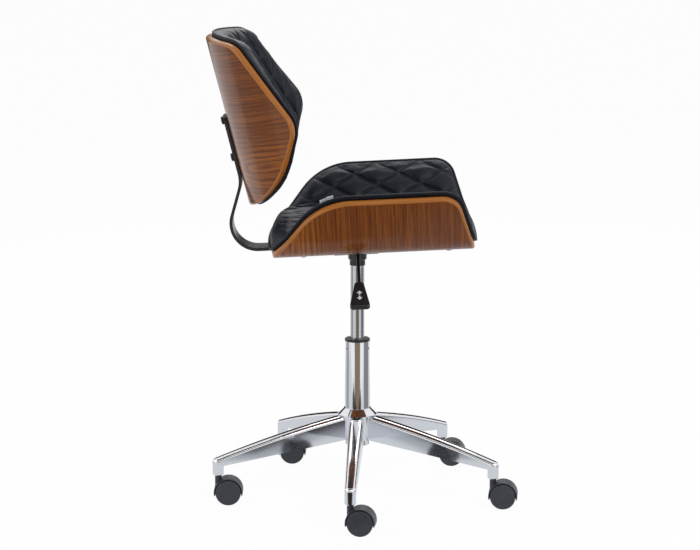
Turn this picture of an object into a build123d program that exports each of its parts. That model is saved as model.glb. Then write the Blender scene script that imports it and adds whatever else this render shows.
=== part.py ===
from build123d import *
import math
import os

# Armless swivel chair: bent plywood seat and back shells on a gas lift and a five-arm castor base.
# Millimetres. +X is the chair's front, +Y the sitter's left, +Z up.
# The origin lies on the floor under the gas lift's axis.

# Clearances
RUNNING_GAP = 0.05          # radial, of a turning or sliding fit
SEATING_GAP = 0.03          # radial, of a pressed, tapered or threaded seat
FACE_GAP = 0.3              # between faces that only lie side by side
CUT_SPARE = 1.0             # how far a cutting shape runs past the face it opens
FAR = 600.0                 # reach of cutting shapes past the chair's parts

# Castors: twin wheels under a hood that turns on a stem
WHEEL_DIAMETER = 50.0
WHEEL_WIDTH = 12.5
WHEEL_RIM = 3.5
WHEEL_DISC = 2.5
WHEEL_HUB_DIAMETER = 14.0
WHEEL_CROWN = 1.2           # how far the closed disc bulges at its middle
WHEEL_EDGE = 2.0            # rounding of the tread's outer edge
WHEEL_SIDE_GAP = 0.5
AXLE_DIAMETER = 6.0
HOOD_CLEARANCE = 1.5
HOOD_WALL = 2.0
HOOD_WIDTH = 35.0
HOOD_WEB = 13.0
HOOD_SKIRT = 6.0            # how far the hood reaches below the axle
CASTOR_TRAIL = 20.0
CASTOR_YAW = (8.0, 6.0, 6.0, 2.0, 0.0)
STEM_BOSS_DIAMETER = 13.0
STEM_BOSS_RISE = 3.5        # boss above the hood's crown
STEM_PIN_DIAMETER = 8.0
STEM_PIN_DEPTH = 24.0
STEM_DIAMETER = 11.0
STEM_LENGTH = 22.0
STEM_FLANGE = 0.7
STEM_FLANGE_GAP = 0.15
GRIP_RING_WIDTH = 3.0
GRIP_RING_DEPTH = 0.7
GRIP_RING_HEIGHT = 13.0     # ring above the socket's mouth

# Base: hub, cap and five pressed arms
ARM_COUNT = 5
ARM_FIRST_ANGLE = -92.84
ARM_REACH = 285.0           # stem axis from the chair's axis
ARM_RISE = 72.1             # arm's top at the hub above its top at the socket
ARM_ROOT_HEIGHT = 45.4
ARM_ROOT_WIDTH = 29.0
ARM_END_HEIGHT = 15.0
ARM_BOW = 5.0
ARM_WALL = 2.0
ARM_ROUND = 8.0
SOCKET_DIAMETER = 22.0
SOCKET_LENGTH = 31.7
SOCKET_CHAMFER = 1.5
SOCKET_HEADROOM = 1.5
HUB_DIAMETER = 65.0
HUB_LIP = 2.0               # hub tube beyond the arms, at each end
CAP_HEIGHT = 13.5
CAP_RIM_DIAMETER = 78.0
CAP_TOP_DIAMETER = 53.0
CAP_WALL = 1.5

# Gas lift
COLUMN_DIAMETER = 50.0
COLUMN_WALL = 2.0
COLUMN_LENGTH = 211.0
COLUMN_PROUD = 12.0         # column below the hub
COLUMN_FLOOR = 3.0
MACHINE_TAPER = 1.0 / 20.0  # diameter lost per length, on the column's foot and the tube's head
BUSH_LENGTH = 75.0
BUSH_FLANGE = 5.0
LUG_DIAMETER = 4.0
LUG_COUNT = 3
LUG_DROP = 14.0             # lugs below the column's top
LUG_FIRST_ANGLE = -147.0
BEARING_DIAMETER = 28.0
BEARING_WASHER = 1.2
BALL_DIAMETER = 4.0
BALL_COUNT = 10
CAGE_THICKNESS = 1.6
CAGE_WIDTH = 6.0
ROD_DIAMETER = 10.0
SPIGOT_DIAMETER = 8.0
SPIGOT_PROUD = 5.0
SHOULDER_DIAMETER = 20.0
SHOULDER_HEIGHT = 3.0
PISTON_HEIGHT = 10.0
CLIP_DIAMETER = 16.0
CLIP_THICKNESS = 1.2
CLIP_GROOVE_DIAMETER = 6.4
BUFFER_DIAMETER = 22.0
BUFFER_HEIGHT = 8.0
LIFT_STROKE = 100.0
STROKE_SPARE = 1.0
TUBE_DIAMETER = 28.0
TUBE_WALL = 2.0
TUBE_HEAD = 14.0            # closed end with the valve
TUBE_TAPER_LENGTH = 36.0
SEAL_HEIGHT = 10.0
VALVE_DIAMETER = 8.0
VALVE_LENGTH = 16.0
VALVE_PROUD = 6.0
VALVE_DOME = 8.0

# Seat: bent plywood shell, board and pad, in a frame tilted about the chair's Y axis
SEAT_HEIGHT = 514.0         # underside of the shell on the gas lift's axis
SEAT_TILT = 2.77
SHELL_THICKNESS = 14.0
SEAT_FLAT_HALF = 143.0
SEAT_BEND_RADIUS = 68.0
SEAT_FLARE = 62.0           # angle of the side flaps to the flat
SEAT_REAR = 163.0
SEAT_REAR_SLOPE = 51.1
SEAT_REAR_RADIUS = 125.0
SEAT_FRONT = 224.0
SEAT_FRONT_LEAN = 15.0
SEAT_FRONT_RADIUS = 38.0
SEAT_RIM_HEIGHT = 119.5
SEAT_REAR_BULGE = 6.0       # how far the flat's rear edge bows out at its middle
SEAT_FRONT_BULGE = 3.0
BOARD_THICKNESS = 4.0
BOARD_MARGIN = 14.0
PAD_THICKNESS = 28.0
PAD_FLAP_THICKNESS = 20.0
PAD_RIM_THICKNESS = 7.0
PAD_CROWN = 5.0
PAD_EDGE_RADIUS = 16.0
PAD_EDGE_SHARE = 0.9        # most of a thin section's height that its rounding takes
PAD_DRAW_IN = 0.3           # draw-in of the edge at its shoulder, as a share of its rounding
PAD_SHOULDER = 0.7          # height of that shoulder, as a share of the thickness
PAD_OVERHANG = 5.0          # seat pad past the shell's front and rear edges
PAD_SKIRT = 8.0             # foot of the pad's edge that reaches down past the board
PAD_RIM_INSET = 3.0         # pad's side edge below the shell's rim
PAD_SNAP = 4.0              # facets narrower than this at the pad's edges are merged
QUILT_LENGTH = 89.0         # diamonds along the seat and up the back
QUILT_WIDTH = 55.0
QUILT_DEPTH = 5.0
QUILT_STEPS = 4             # facets along a diamond, each way
QUILT_COLUMNS = 14          # lines of facets to each side of the pad's middle
HEEL_POINTS = 2             # points of a pad's row before its quilted top

# Seat pan with the gas lift's socket and the height lever
PAN_LENGTH = 86.0
PAN_CENTRE = -3.0
PAN_WIDTH = 96.0
PAN_DEPTH = 19.0
PAN_WALL = 2.5
PAN_FLANGE = 27.0
COLLAR_DIAMETER = 31.0
COLLAR_FLARE_DIAMETER = 37.0
COLLAR_DROP = 33.0          # collar's lower rim below the tube's top
COLLAR_FLARE_DROP = 20.0
TUBE_PROUD = 1.5            # tube's head above the pan's floor
LEVER_ARM = 30.0            # pivot from the gas lift's axis
LEVER_PIN_DIAMETER = 5.0
LEVER_PIN_PROUD = 1.0       # pin past its ears
LEVER_BOSS_DIAMETER = 10.0
LEVER_BOSS_LENGTH = 15.0
LEVER_TONGUE_WIDTH = 12.0
LEVER_TONGUE_THICKNESS = 3.5
LEVER_TONGUE_END = 3.0
LEVER_ROD_DIAMETER = 7.0
LEVER_BEND_REACH = 48.0     # bend from the gas lift's axis
LEVER_BEND_RADIUS = 14.0
LEVER_DROP_ANGLE = 27.0
LEVER_ROD_LENGTH = 140.0    # sloping run from the bend
EAR_THICKNESS = 2.5
EAR_WIDTH = 16.0
PADDLE_START = 110.0        # along the sloping run
PADDLE_LENGTH = 74.0
PADDLE_ROOT_WIDTH = 17.0
PADDLE_END_WIDTH = 40.0
PADDLE_THICKNESS = 11.0
PADDLE_CORNER = 6.0
PADDLE_EDGE = 2.5

# Back: bent plywood shell, board and pad, in a frame tilted about its lower end
BACK_FOOT_X = -212.0
BACK_FOOT_RISE = 75.7       # above the seat shell's underside
BACK_TILT = 14.2
BACK_RADIUS = 280.0
BACK_HEIGHT = 338.5
BACK_SHOULDER_DEPTH = 54.0
BACK_SHOULDER_HEIGHT = 320.5
BACK_SHOULDER_RADIUS = 40.0
BACK_WING_DEPTH = 135.3
BACK_WING_HEIGHT = 148.7
BACK_WING_RADIUS = 50.0
BACK_WING_INSET = 9.0       # back pad's side edge inside the wing's unrounded corner
BACK_LOWER_DEPTH = 69.8
BACK_LOWER_HEIGHT = 32.8
BACK_LOWER_RADIUS = 215.0
BACK_PAD_THICKNESS = 26.0
BACK_PAD_SHARE = 0.75       # of the board's half sweep, at full thickness
BACK_HALF_SWEEP = 80.0      # of the cylinder that the back is cut from, in degrees

# Spring bar between seat and back
BAR_WIDTH = 60.0
BAR_THICKNESS = 6.0
BAR_TOP = 181.0             # along the back's spine
BAR_LEAVE = 48.0            # where it leaves the spine
BAR_REAR_SLOPE = 15.6       # backward lean of its falling run
BAR_UPPER_RADIUS = 60.0
BAR_LOWER_RADIUS = 52.0
BAR_FRONT = -52.0
BAR_CORNER = 14.0

# Fasteners
BOLT_DIAMETER = 6.0
BOLT_HEAD_DIAMETER = 12.0
BOLT_HEAD_HEIGHT = 4.0
BOLT_HEAD_ROUND = 0.45      # rounding of a head, as a share of its height
THREAD_SHORT = 1.0          # a bolt's end below its nut's far face
BACK_BOLT_DIAMETER = 8.0
BACK_BOLT_HEAD_DIAMETER = 16.0
BACK_BOLT_HEAD_HEIGHT = 5.0
WASHER_DIAMETER = 20.0
WASHER_THICKNESS = 1.5
TNUT_BARREL_DIAMETER = 9.0
TNUT_BARREL_LENGTH = 8.0
TNUT_FLANGE_DIAMETER = 20.0
TNUT_FLANGE = 1.5
INSERT_DIAMETER = 11.0
PAN_BOLT_INSET = 10.0       # from the pan's ends
PAN_BOLT_Y = 63.0
BAR_BOLTS_X = (-130.0, -100.0, -70.0)
PAD_BOLTS_X = (-104.0, 175.0)
PAD_BOLT_Y = 132.0
BACK_BOLT_HEIGHTS = (95.9, 170.5)

# Places worked out from the sizes above
WHEEL_RADIUS = WHEEL_DIAMETER / 2
HOOD_INNER = WHEEL_RADIUS + HOOD_CLEARANCE
HOOD_OUTER = HOOD_INNER + HOOD_WALL
BOSS_TOP = WHEEL_RADIUS + HOOD_OUTER + STEM_BOSS_RISE
SOCKET_BOTTOM = BOSS_TOP + STEM_FLANGE + 2 * STEM_FLANGE_GAP
WHEEL_INNER_FACE = HOOD_WEB / 2 + WHEEL_SIDE_GAP
WHEEL_OUTER_FACE = WHEEL_INNER_FACE + WHEEL_WIDTH
ARM_END_TOP = SOCKET_BOTTOM + SOCKET_LENGTH
ARM_ROOT_TOP = ARM_END_TOP + ARM_RISE
ARM_ROOT_BOTTOM = ARM_ROOT_TOP - ARM_ROOT_HEIGHT
HUB_TOP = ARM_ROOT_TOP + HUB_LIP
HUB_BOTTOM = ARM_ROOT_BOTTOM - HUB_LIP
COLUMN_BOTTOM = HUB_BOTTOM - COLUMN_PROUD
COLUMN_TOP = COLUMN_BOTTOM + COLUMN_LENGTH
COLUMN_RADIUS = COLUMN_DIAMETER / 2
BEARING_BOTTOM = COLUMN_BOTTOM + COLUMN_FLOOR
BALL_CENTRE = BEARING_BOTTOM + BEARING_WASHER + SEATING_GAP + BALL_DIAMETER / 2
BEARING_TOP = BALL_CENTRE + BALL_DIAMETER / 2 + SEATING_GAP + BEARING_WASHER
SHOULDER_BOTTOM = BEARING_TOP + RUNNING_GAP
BUFFER_BOTTOM = SHOULDER_BOTTOM + SHOULDER_HEIGHT
BUFFER_TOP = BUFFER_BOTTOM + BUFFER_HEIGHT
TUBE_BOTTOM = BUFFER_TOP + LIFT_STROKE + STROKE_SPARE
TUBE_RADIUS = TUBE_DIAMETER / 2
TUBE_BORE = TUBE_RADIUS - TUBE_WALL
TUBE_TOP = SEAT_HEIGHT - PAN_DEPTH + PAN_WALL + TUBE_PROUD
TUBE_TAPER_START = TUBE_TOP - TUBE_TAPER_LENGTH
PISTON_BOTTOM = TUBE_BOTTOM + SEAL_HEIGHT + STROKE_SPARE
COLLAR_BOTTOM = TUBE_TOP - COLLAR_DROP
COLLAR_FLARE = TUBE_TOP - COLLAR_FLARE_DROP
LEVER_PIVOT_Z = TUBE_TOP + VALVE_PROUD + FACE_GAP - SEAT_HEIGHT
PAD_DROP = BOARD_THICKNESS + FACE_GAP
PAD_BASE = SHELL_THICKNESS + FACE_GAP + PAD_DROP

SEAT_FRAME = Location((0, 0, SEAT_HEIGHT), (0, -SEAT_TILT, 0))
BACK_FRAME = Location((BACK_FOOT_X, 0, SEAT_HEIGHT + BACK_FOOT_RISE), (0, -BACK_TILT, 0))

nodes = {}


def turned(points):
    """Solid of revolution about Z from a closed (radius, height) outline."""
    return revolve(Plane.XZ * make_face(Polyline(*points, close=True)), Axis.Z)


def disc(diameter, low, high, x=0.0, y=0.0):
    """Upright cylinder between two heights."""
    return Pos(x, y, (low + high) / 2) * Cylinder(diameter / 2, high - low)


def block(x_low, x_high, y_low, y_high, z_low, z_high):
    """Box between two corners."""
    middle = Pos((x_low + x_high) / 2, (y_low + y_high) / 2, (z_low + z_high) / 2)
    return middle * Box(x_high - x_low, y_high - y_low, z_high - z_low)


def ring(outer, inner, low, high):
    """Upright tube of two diameters between two heights."""
    return disc(outer, low, high) - disc(inner, low - CUT_SPARE, high + CUT_SPARE)


# Castors
def castor_hood():
    axle = Pos(CASTOR_TRAIL, 0, WHEEL_RADIUS) * Rot(90, 0, 0)
    mudguard = axle * Cylinder(HOOD_OUTER, HOOD_WIDTH) - axle * Cylinder(HOOD_INNER, HOOD_WIDTH)
    web = axle * Cylinder(HOOD_OUTER, HOOD_WEB)
    reach = 2 * HOOD_OUTER
    skirt = WHEEL_RADIUS - HOOD_SKIRT
    above = block(CASTOR_TRAIL - reach, CASTOR_TRAIL + reach, -reach, reach, skirt, skirt + 2 * reach)
    boss = disc(STEM_BOSS_DIAMETER, WHEEL_RADIUS, BOSS_TOP)
    pin_floor = BOSS_TOP - STEM_PIN_DEPTH - FACE_GAP
    pin_bore = disc(STEM_PIN_DIAMETER + 2 * RUNNING_GAP, pin_floor, BOSS_TOP + CUT_SPARE)
    axle_bore = axle * Cylinder(AXLE_DIAMETER / 2 + SEATING_GAP, HOOD_WIDTH)
    return ((mudguard + web) & above) + boss - pin_bore - axle_bore


def castor_axle():
    half = WHEEL_OUTER_FACE - WHEEL_DISC - FACE_GAP
    return Pos(CASTOR_TRAIL, 0, WHEEL_RADIUS) * Rot(90, 0, 0) * Cylinder(AXLE_DIAMETER / 2, 2 * half)


def castor_wheel(side):
    bore = AXLE_DIAMETER / 2 + RUNNING_GAP
    hub = WHEEL_HUB_DIAMETER / 2
    rim = WHEEL_RADIUS - WHEEL_RIM
    floor = WHEEL_OUTER_FACE - WHEEL_DISC
    shoulder = WHEEL_RADIUS - WHEEL_EDGE
    inner = Polyline((0, WHEEL_OUTER_FACE + WHEEL_CROWN), (0, floor), (bore, floor),
                     (bore, WHEEL_INNER_FACE), (hub, WHEEL_INNER_FACE), (hub, floor), (rim, floor),
                     (rim, WHEEL_INNER_FACE), (WHEEL_RADIUS, WHEEL_INNER_FACE),
                     (WHEEL_RADIUS, WHEEL_OUTER_FACE - WHEEL_EDGE))
    edge = RadiusArc((WHEEL_RADIUS, WHEEL_OUTER_FACE - WHEEL_EDGE), (shoulder, WHEEL_OUTER_FACE), -WHEEL_EDGE)
    crown_radius = (shoulder ** 2 + WHEEL_CROWN ** 2) / (2 * WHEEL_CROWN)
    crown = RadiusArc((shoulder, WHEEL_OUTER_FACE), (0, WHEEL_OUTER_FACE + WHEEL_CROWN), -crown_radius)
    wheel = revolve(Plane.XZ * make_face(inner + edge + crown), Axis.Z)
    return Pos(CASTOR_TRAIL, 0, WHEEL_RADIUS) * Rot(-90 * side, 0, 0) * wheel


def castor_stem():
    pin = disc(STEM_PIN_DIAMETER, BOSS_TOP - STEM_PIN_DEPTH, BOSS_TOP + STEM_FLANGE_GAP)
    flange_top = SOCKET_BOTTOM - STEM_FLANGE_GAP
    flange = disc(STEM_BOSS_DIAMETER, BOSS_TOP + STEM_FLANGE_GAP, flange_top)
    shank = disc(STEM_DIAMETER, flange_top, SOCKET_BOTTOM + STEM_LENGTH)
    ring_low = SOCKET_BOTTOM + GRIP_RING_HEIGHT
    ring_high = ring_low + GRIP_RING_WIDTH
    ring_inner = STEM_DIAMETER - 2 * GRIP_RING_DEPTH
    groove = ring(STEM_DIAMETER + CUT_SPARE, ring_inner, ring_low, ring_high)
    grip = ring(STEM_DIAMETER + RUNNING_GAP, ring_inner + RUNNING_GAP, ring_low + RUNNING_GAP,
                ring_high - RUNNING_GAP)
    return Compound(children=[pin + flange + shank - groove, grip])


# Base
def arm_block(inset):
    """Tapered bar with a bowed, rounded top; inset gives the hollow inside it."""
    tip = ARM_REACH + SOCKET_DIAMETER / 2 - inset
    root = HUB_DIAMETER / 4
    slope = ARM_RISE / (ARM_REACH + SOCKET_DIAMETER / 2 - HUB_DIAMETER / 2)
    root_top = ARM_ROOT_TOP + slope * (HUB_DIAMETER / 2 - root) - inset
    end_top = ARM_END_TOP - inset
    low = SOCKET_BOTTOM - ARM_ROOT_HEIGHT
    root_low = low if inset else ARM_ROOT_BOTTOM
    end_low = low if inset else ARM_END_TOP - ARM_END_HEIGHT
    middle = ((root + tip) / 2, (root_top + end_top) / 2 + ARM_BOW)
    crest = ThreePointArc((root, root_top), middle, (tip, end_top))
    sides = Polyline((tip, end_top), (tip, end_low), (root, root_low), (root, root_top))
    profile = extrude(Plane.XZ * make_face(crest + sides), ARM_ROOT_WIDTH, both=True)
    root_half = ARM_ROOT_WIDTH / 2 - inset
    end_half = SOCKET_DIAMETER / 2 - inset
    wedge = make_face(Polyline((root, -root_half), (ARM_REACH, -end_half), (ARM_REACH, end_half),
                               (root, root_half), close=True))
    plan = extrude(wedge + Pos(ARM_REACH, 0) * Circle(end_half), 2 * ARM_ROOT_TOP)
    bar = profile & plan
    crest_face = bar.faces().filter_by(GeomType.CYLINDER).sort_by(SortBy.AREA)[-1]
    long_edges = crest_face.edges().filter_by(lambda e: e.center().X > HUB_DIAMETER)
    return fillet(long_edges, ARM_ROUND - inset)


def base_arm():
    shell = arm_block(0.0) - arm_block(ARM_WALL)
    socket = disc(SOCKET_DIAMETER, SOCKET_BOTTOM, ARM_END_TOP - ARM_END_HEIGHT / 2, ARM_REACH)
    socket = chamfer(socket.edges().group_by(Axis.Z)[0], SOCKET_CHAMFER)
    bore_top = SOCKET_BOTTOM + STEM_LENGTH + SOCKET_HEADROOM
    bore = disc(STEM_DIAMETER + 2 * RUNNING_GAP, SOCKET_BOTTOM - CUT_SPARE, bore_top, ARM_REACH)
    hub = disc(HUB_DIAMETER + 2 * SEATING_GAP, 0, 2 * ARM_ROOT_TOP)
    return shell + socket - bore - hub


def column_radius(z, gap=0.0):
    """Outside of the column: straight, then tapered from the hub's top down."""
    return COLUMN_RADIUS - max(HUB_TOP - z, 0.0) * MACHINE_TAPER / 2 + gap


def hub():
    gap = SEATING_GAP
    return turned([(column_radius(HUB_BOTTOM, gap), HUB_BOTTOM), (HUB_DIAMETER / 2, HUB_BOTTOM),
                   (HUB_DIAMETER / 2, HUB_TOP), (column_radius(HUB_TOP, gap), HUB_TOP)])


def hub_cap():
    bore = COLUMN_RADIUS + SEATING_GAP
    top = HUB_TOP + CAP_HEIGHT
    rim = CAP_RIM_DIAMETER / 2
    return turned([(bore, top), (CAP_TOP_DIAMETER / 2, top), (rim, HUB_TOP + CAP_WALL), (rim, HUB_TOP),
                   (bore, HUB_TOP), (bore, HUB_TOP + CAP_WALL), (rim - 2 * CAP_WALL, HUB_TOP + CAP_WALL),
                   (bore, top - CAP_WALL)])


# Gas lift
def lug_places():
    return [Rot(0, 0, LUG_FIRST_ANGLE + 360 / LUG_COUNT * i) for i in range(LUG_COUNT)]


def column_tube():
    spigot_hole = SPIGOT_DIAMETER / 2 + FACE_GAP
    tube = turned([(column_radius(COLUMN_BOTTOM), COLUMN_BOTTOM), (column_radius(HUB_TOP), HUB_TOP),
                   (COLUMN_RADIUS, COLUMN_TOP), (COLUMN_RADIUS - COLUMN_WALL, COLUMN_TOP),
                   (COLUMN_RADIUS - COLUMN_WALL, HUB_TOP),
                   (column_radius(BEARING_BOTTOM) - COLUMN_WALL, BEARING_BOTTOM),
                   (spigot_hole, BEARING_BOTTOM), (spigot_hole, COLUMN_BOTTOM)])
    for place in lug_places():
        hole = Pos(COLUMN_RADIUS, 0, COLUMN_TOP - LUG_DROP) * Rot(0, 90, 0) * Cylinder(
            LUG_DIAMETER / 2 + SEATING_GAP, 4 * COLUMN_WALL)
        tube = tube - place * hole
    return tube


def guide_bush():
    sleeve = COLUMN_DIAMETER - 2 * COLUMN_WALL - 2 * SEATING_GAP
    top = COLUMN_TOP + BUSH_FLANGE
    body = disc(sleeve, COLUMN_TOP - BUSH_LENGTH, COLUMN_TOP) + chamfer(
        disc(COLUMN_DIAMETER, COLUMN_TOP, top).edges().group_by(Axis.Z)[-1], BUSH_FLANGE / 4)
    for place in lug_places():
        inside = sleeve / 2 - COLUMN_WALL
        lug = Pos((inside + COLUMN_RADIUS) / 2, 0, COLUMN_TOP - LUG_DROP) * Rot(0, 90, 0) * Cylinder(
            LUG_DIAMETER / 2, COLUMN_RADIUS - inside)
        body = body + place * lug
    return body - disc(TUBE_DIAMETER + 2 * RUNNING_GAP, 0, 2 * top)


def thrust_bearing():
    bore = SPIGOT_DIAMETER + 2 * FACE_GAP
    pitch = (BEARING_DIAMETER + bore) / 4
    lower = ring(BEARING_DIAMETER, bore, BEARING_BOTTOM, BEARING_BOTTOM + BEARING_WASHER)
    upper = ring(BEARING_DIAMETER, bore, BEARING_TOP - BEARING_WASHER, BEARING_TOP)
    cage = ring(2 * pitch + CAGE_WIDTH, 2 * pitch - CAGE_WIDTH,
                BALL_CENTRE - CAGE_THICKNESS / 2, BALL_CENTRE + CAGE_THICKNESS / 2)
    balls = []
    for i in range(BALL_COUNT):
        turn = Rot(0, 0, 360 / BALL_COUNT * i)
        balls.append(turn * Pos(pitch, 0, BALL_CENTRE) * Sphere(BALL_DIAMETER / 2))
        cage = cage - turn * disc(BALL_DIAMETER + 2 * RUNNING_GAP, BALL_CENTRE - BALL_DIAMETER,
                                  BALL_CENTRE + BALL_DIAMETER, pitch)
    return Compound(children=[lower, upper, cage] + balls)


def clip_band():
    """Heights of the groove under the column's floor that holds the clip."""
    top = COLUMN_BOTTOM - FACE_GAP
    return top - CLIP_THICKNESS, top


def piston_rod():
    clip_low, clip_high = clip_band()
    spigot = disc(SPIGOT_DIAMETER, COLUMN_BOTTOM - SPIGOT_PROUD, SHOULDER_BOTTOM)
    groove = ring(2 * SPIGOT_DIAMETER, CLIP_GROOVE_DIAMETER, clip_low - SEATING_GAP, clip_high + SEATING_GAP)
    shoulder = disc(SHOULDER_DIAMETER, SHOULDER_BOTTOM, BUFFER_BOTTOM)
    rod = disc(ROD_DIAMETER, BUFFER_BOTTOM, PISTON_BOTTOM)
    piston = disc(2 * TUBE_BORE - 2 * RUNNING_GAP, PISTON_BOTTOM, PISTON_BOTTOM + PISTON_HEIGHT)
    return spigot - groove + shoulder + rod + piston


def rod_clip():
    clip_low, clip_high = clip_band()
    half = CLIP_GROOVE_DIAMETER / 2
    mouth = block(0, CLIP_DIAMETER, -half, half, clip_low - CUT_SPARE, clip_high + CUT_SPARE)
    return ring(CLIP_DIAMETER, CLIP_GROOVE_DIAMETER + 2 * SEATING_GAP, clip_low, clip_high) - mouth


def buffer_ring():
    return ring(BUFFER_DIAMETER, ROD_DIAMETER + 2 * SEATING_GAP, BUFFER_BOTTOM, BUFFER_TOP)


def tube_radius(z, gap=0.0):
    """Outside of the pressure tube: straight, then tapered to its top."""
    return TUBE_RADIUS - max(z - TUBE_TAPER_START, 0.0) * MACHINE_TAPER / 2 + gap


def pressure_tube():
    valve_bore = VALVE_DIAMETER / 2 + RUNNING_GAP
    head = TUBE_TOP - TUBE_HEAD
    return turned([(TUBE_BORE, TUBE_BOTTOM), (TUBE_RADIUS, TUBE_BOTTOM), (TUBE_RADIUS, TUBE_TAPER_START),
                   (tube_radius(TUBE_TOP), TUBE_TOP), (valve_bore, TUBE_TOP), (valve_bore, head),
                   (TUBE_BORE, head)])


def rod_seal():
    return ring(2 * TUBE_BORE - 2 * SEATING_GAP, ROD_DIAMETER + 2 * RUNNING_GAP, TUBE_BOTTOM,
                TUBE_BOTTOM + SEAL_HEIGHT)


def valve_button():
    top = TUBE_TOP + VALVE_PROUD
    pin = disc(VALVE_DIAMETER, top - VALVE_LENGTH, top)
    return pin & Pos(0, 0, top - VALVE_DOME) * Sphere(VALVE_DOME) + disc(
        VALVE_DIAMETER, top - VALVE_LENGTH, top - VALVE_DOME)


# Bent plywood: a trimmed outer surface thickened inwards, so that every edge is square to the panel
def thick_panel(surface, trim, depth, inward):
    """Thickens the part of a surface that lies inside trim towards the point given by inward(centre)."""
    pieces = []
    for face in (surface & trim).faces():
        middle = face.center()
        toward = inward(middle) - middle
        sign = 1 if face.normal_at(middle).dot(toward) > 0 else -1
        pieces.append(Solid.thicken(face, sign * depth))
    return pieces


def fused(pieces):
    whole = pieces[0]
    for piece in pieces[1:]:
        whole = whole + piece
    return whole


def seat_outline():
    """Side view of the seat shell in the seat's frame."""
    top_rear = -SEAT_REAR + SEAT_RIM_HEIGHT / math.tan(math.radians(SEAT_REAR_SLOPE))
    top_front = SEAT_FRONT - SEAT_RIM_HEIGHT * math.tan(math.radians(SEAT_FRONT_LEAN))
    rear_low = -SEAT_REAR - SHELL_THICKNESS / math.tan(math.radians(SEAT_REAR_SLOPE))
    front_low = SEAT_FRONT + SHELL_THICKNESS * math.tan(math.radians(SEAT_FRONT_LEAN))
    line = FilletPolyline((rear_low, -SHELL_THICKNESS), (top_rear, SEAT_RIM_HEIGHT),
                          (top_front, SEAT_RIM_HEIGHT), (front_low, -SHELL_THICKNESS),
                          radius=(SEAT_REAR_RADIUS, SEAT_FRONT_RADIUS))
    return make_face(line + Line(line @ 1, line @ 0))


def seat_surface(inset):
    """The U of the seat, inset from the shell's underside: flat, two bends, two flaps."""
    flare = math.radians(SEAT_FLARE)
    bend = SEAT_BEND_RADIUS - inset
    behind = -2 * SEAT_REAR

    def bend_point(angle, climb=0.0):
        y = SEAT_FLAT_HALF + bend * math.sin(angle) + climb * math.cos(flare)
        return (behind, y, SEAT_BEND_RADIUS - bend * math.cos(angle) + climb * math.sin(flare))

    flat = Line((behind, 0, inset), bend_point(0.0))
    curve = ThreePointArc(bend_point(0.0), bend_point(flare / 2), bend_point(flare))
    flap = Line(bend_point(flare), bend_point(flare, SEAT_RIM_HEIGHT / math.sin(flare)))
    sweep_length = Vector(2 * SEAT_REAR + 2 * SEAT_FRONT, 0, 0)
    right = [Face.extrude(line.edge(), sweep_length) for line in (flat, curve, flap)]
    left = [face.mirror(Plane.XZ) for face in right]
    return Compound(children=[right[0], left[0]]), Compound(children=right[1:] + left[1:])


def seat_panel(inset, depth, margin):
    outline = seat_outline()
    if margin:
        outline = offset(outline, -margin)
    low, high = span(outline, (-FAR, inset), (1, 0))
    half = SEAT_FLAT_HALF
    rear = ThreePointArc((low, -half), (low - SEAT_REAR_BULGE, 0), (low, half))
    front = ThreePointArc((high, half), (high + SEAT_FRONT_BULGE, 0), (high, -half))
    plan = make_face(rear + Line((low, half), (high, half)) + front + Line((high, -half), (low, -half)))
    plan_trim = extrude(plan, FAR, both=True)
    side_trim = extrude(Plane.XZ * outline, FAR, both=True)
    flat, sides = seat_surface(inset)

    def inward(point):
        return Vector(point.X, 0, FAR)

    return fused(thick_panel(flat, plan_trim, depth, inward) + thick_panel(sides, side_trim, depth, inward))


def back_outline():
    """Side view of the back shell in the back's frame."""
    behind = -SHELL_THICKNESS
    top_slope = (BACK_HEIGHT - BACK_SHOULDER_HEIGHT) / BACK_SHOULDER_DEPTH
    low_slope = BACK_LOWER_HEIGHT / BACK_LOWER_DEPTH
    line = FilletPolyline((behind, BACK_HEIGHT - behind * top_slope),
                          (BACK_SHOULDER_DEPTH, BACK_SHOULDER_HEIGHT), (BACK_WING_DEPTH, BACK_WING_HEIGHT),
                          (BACK_LOWER_DEPTH, BACK_LOWER_HEIGHT), (behind, behind * low_slope),
                          radius=(BACK_SHOULDER_RADIUS, BACK_WING_RADIUS, BACK_LOWER_RADIUS))
    return make_face(line + Line(line @ 1, line @ 0))


def back_panel(inset, depth, margin):
    outline = back_outline()
    if margin:
        outline = offset(outline, -margin)
        outline = outline + Pos(-margin, 0) * outline
    trim = extrude(Plane.XZ * outline, FAR, both=True)
    radius = BACK_RADIUS - inset
    arc = CenterArc((BACK_RADIUS, 0), radius, 180 - BACK_HALF_SWEEP, 2 * BACK_HALF_SWEEP)
    surface = Face.extrude(arc.edge(), Vector(0, 0, 3 * BACK_HEIGHT))
    surface = Pos(0, 0, -BACK_HEIGHT) * surface
    return fused(thick_panel(surface, trim, depth, lambda p: Vector(BACK_RADIUS, 0, p.Z)))


# Pads: a quilted cover laid over the panel in flat facets, with drawn-in edges and feet past the board
def between(table, place):
    """Straight-line value at a place in a table of (place, value) pairs."""
    for (start, first), (end, last) in zip(table, table[1:]):
        if place <= end:
            return first + (last - first) * (place - start) / (end - start)
    return table[-1][1]


def span(outline, start, direction):
    """Lowest and highest place along a direction at which a line from start crosses an outline."""
    origin, along = Vector(*start), Vector(*direction)
    crossing = (Line(origin, origin + along * 2 * FAR) & outline).edges()
    places = [along.dot(Vector(*tuple(vertex))) for edge in crossing for vertex in edge.vertices()]
    return min(places), max(places)


def pillow(along, across):
    """Height of the cover between its sewn lines (0) and the middle of a diamond (1)."""
    u, v = along / QUILT_LENGTH, across / QUILT_WIDTH
    sewn = min(abs(line - round(line)) for line in (u + v, u - v))
    return math.sin(math.pi * sewn)


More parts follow.
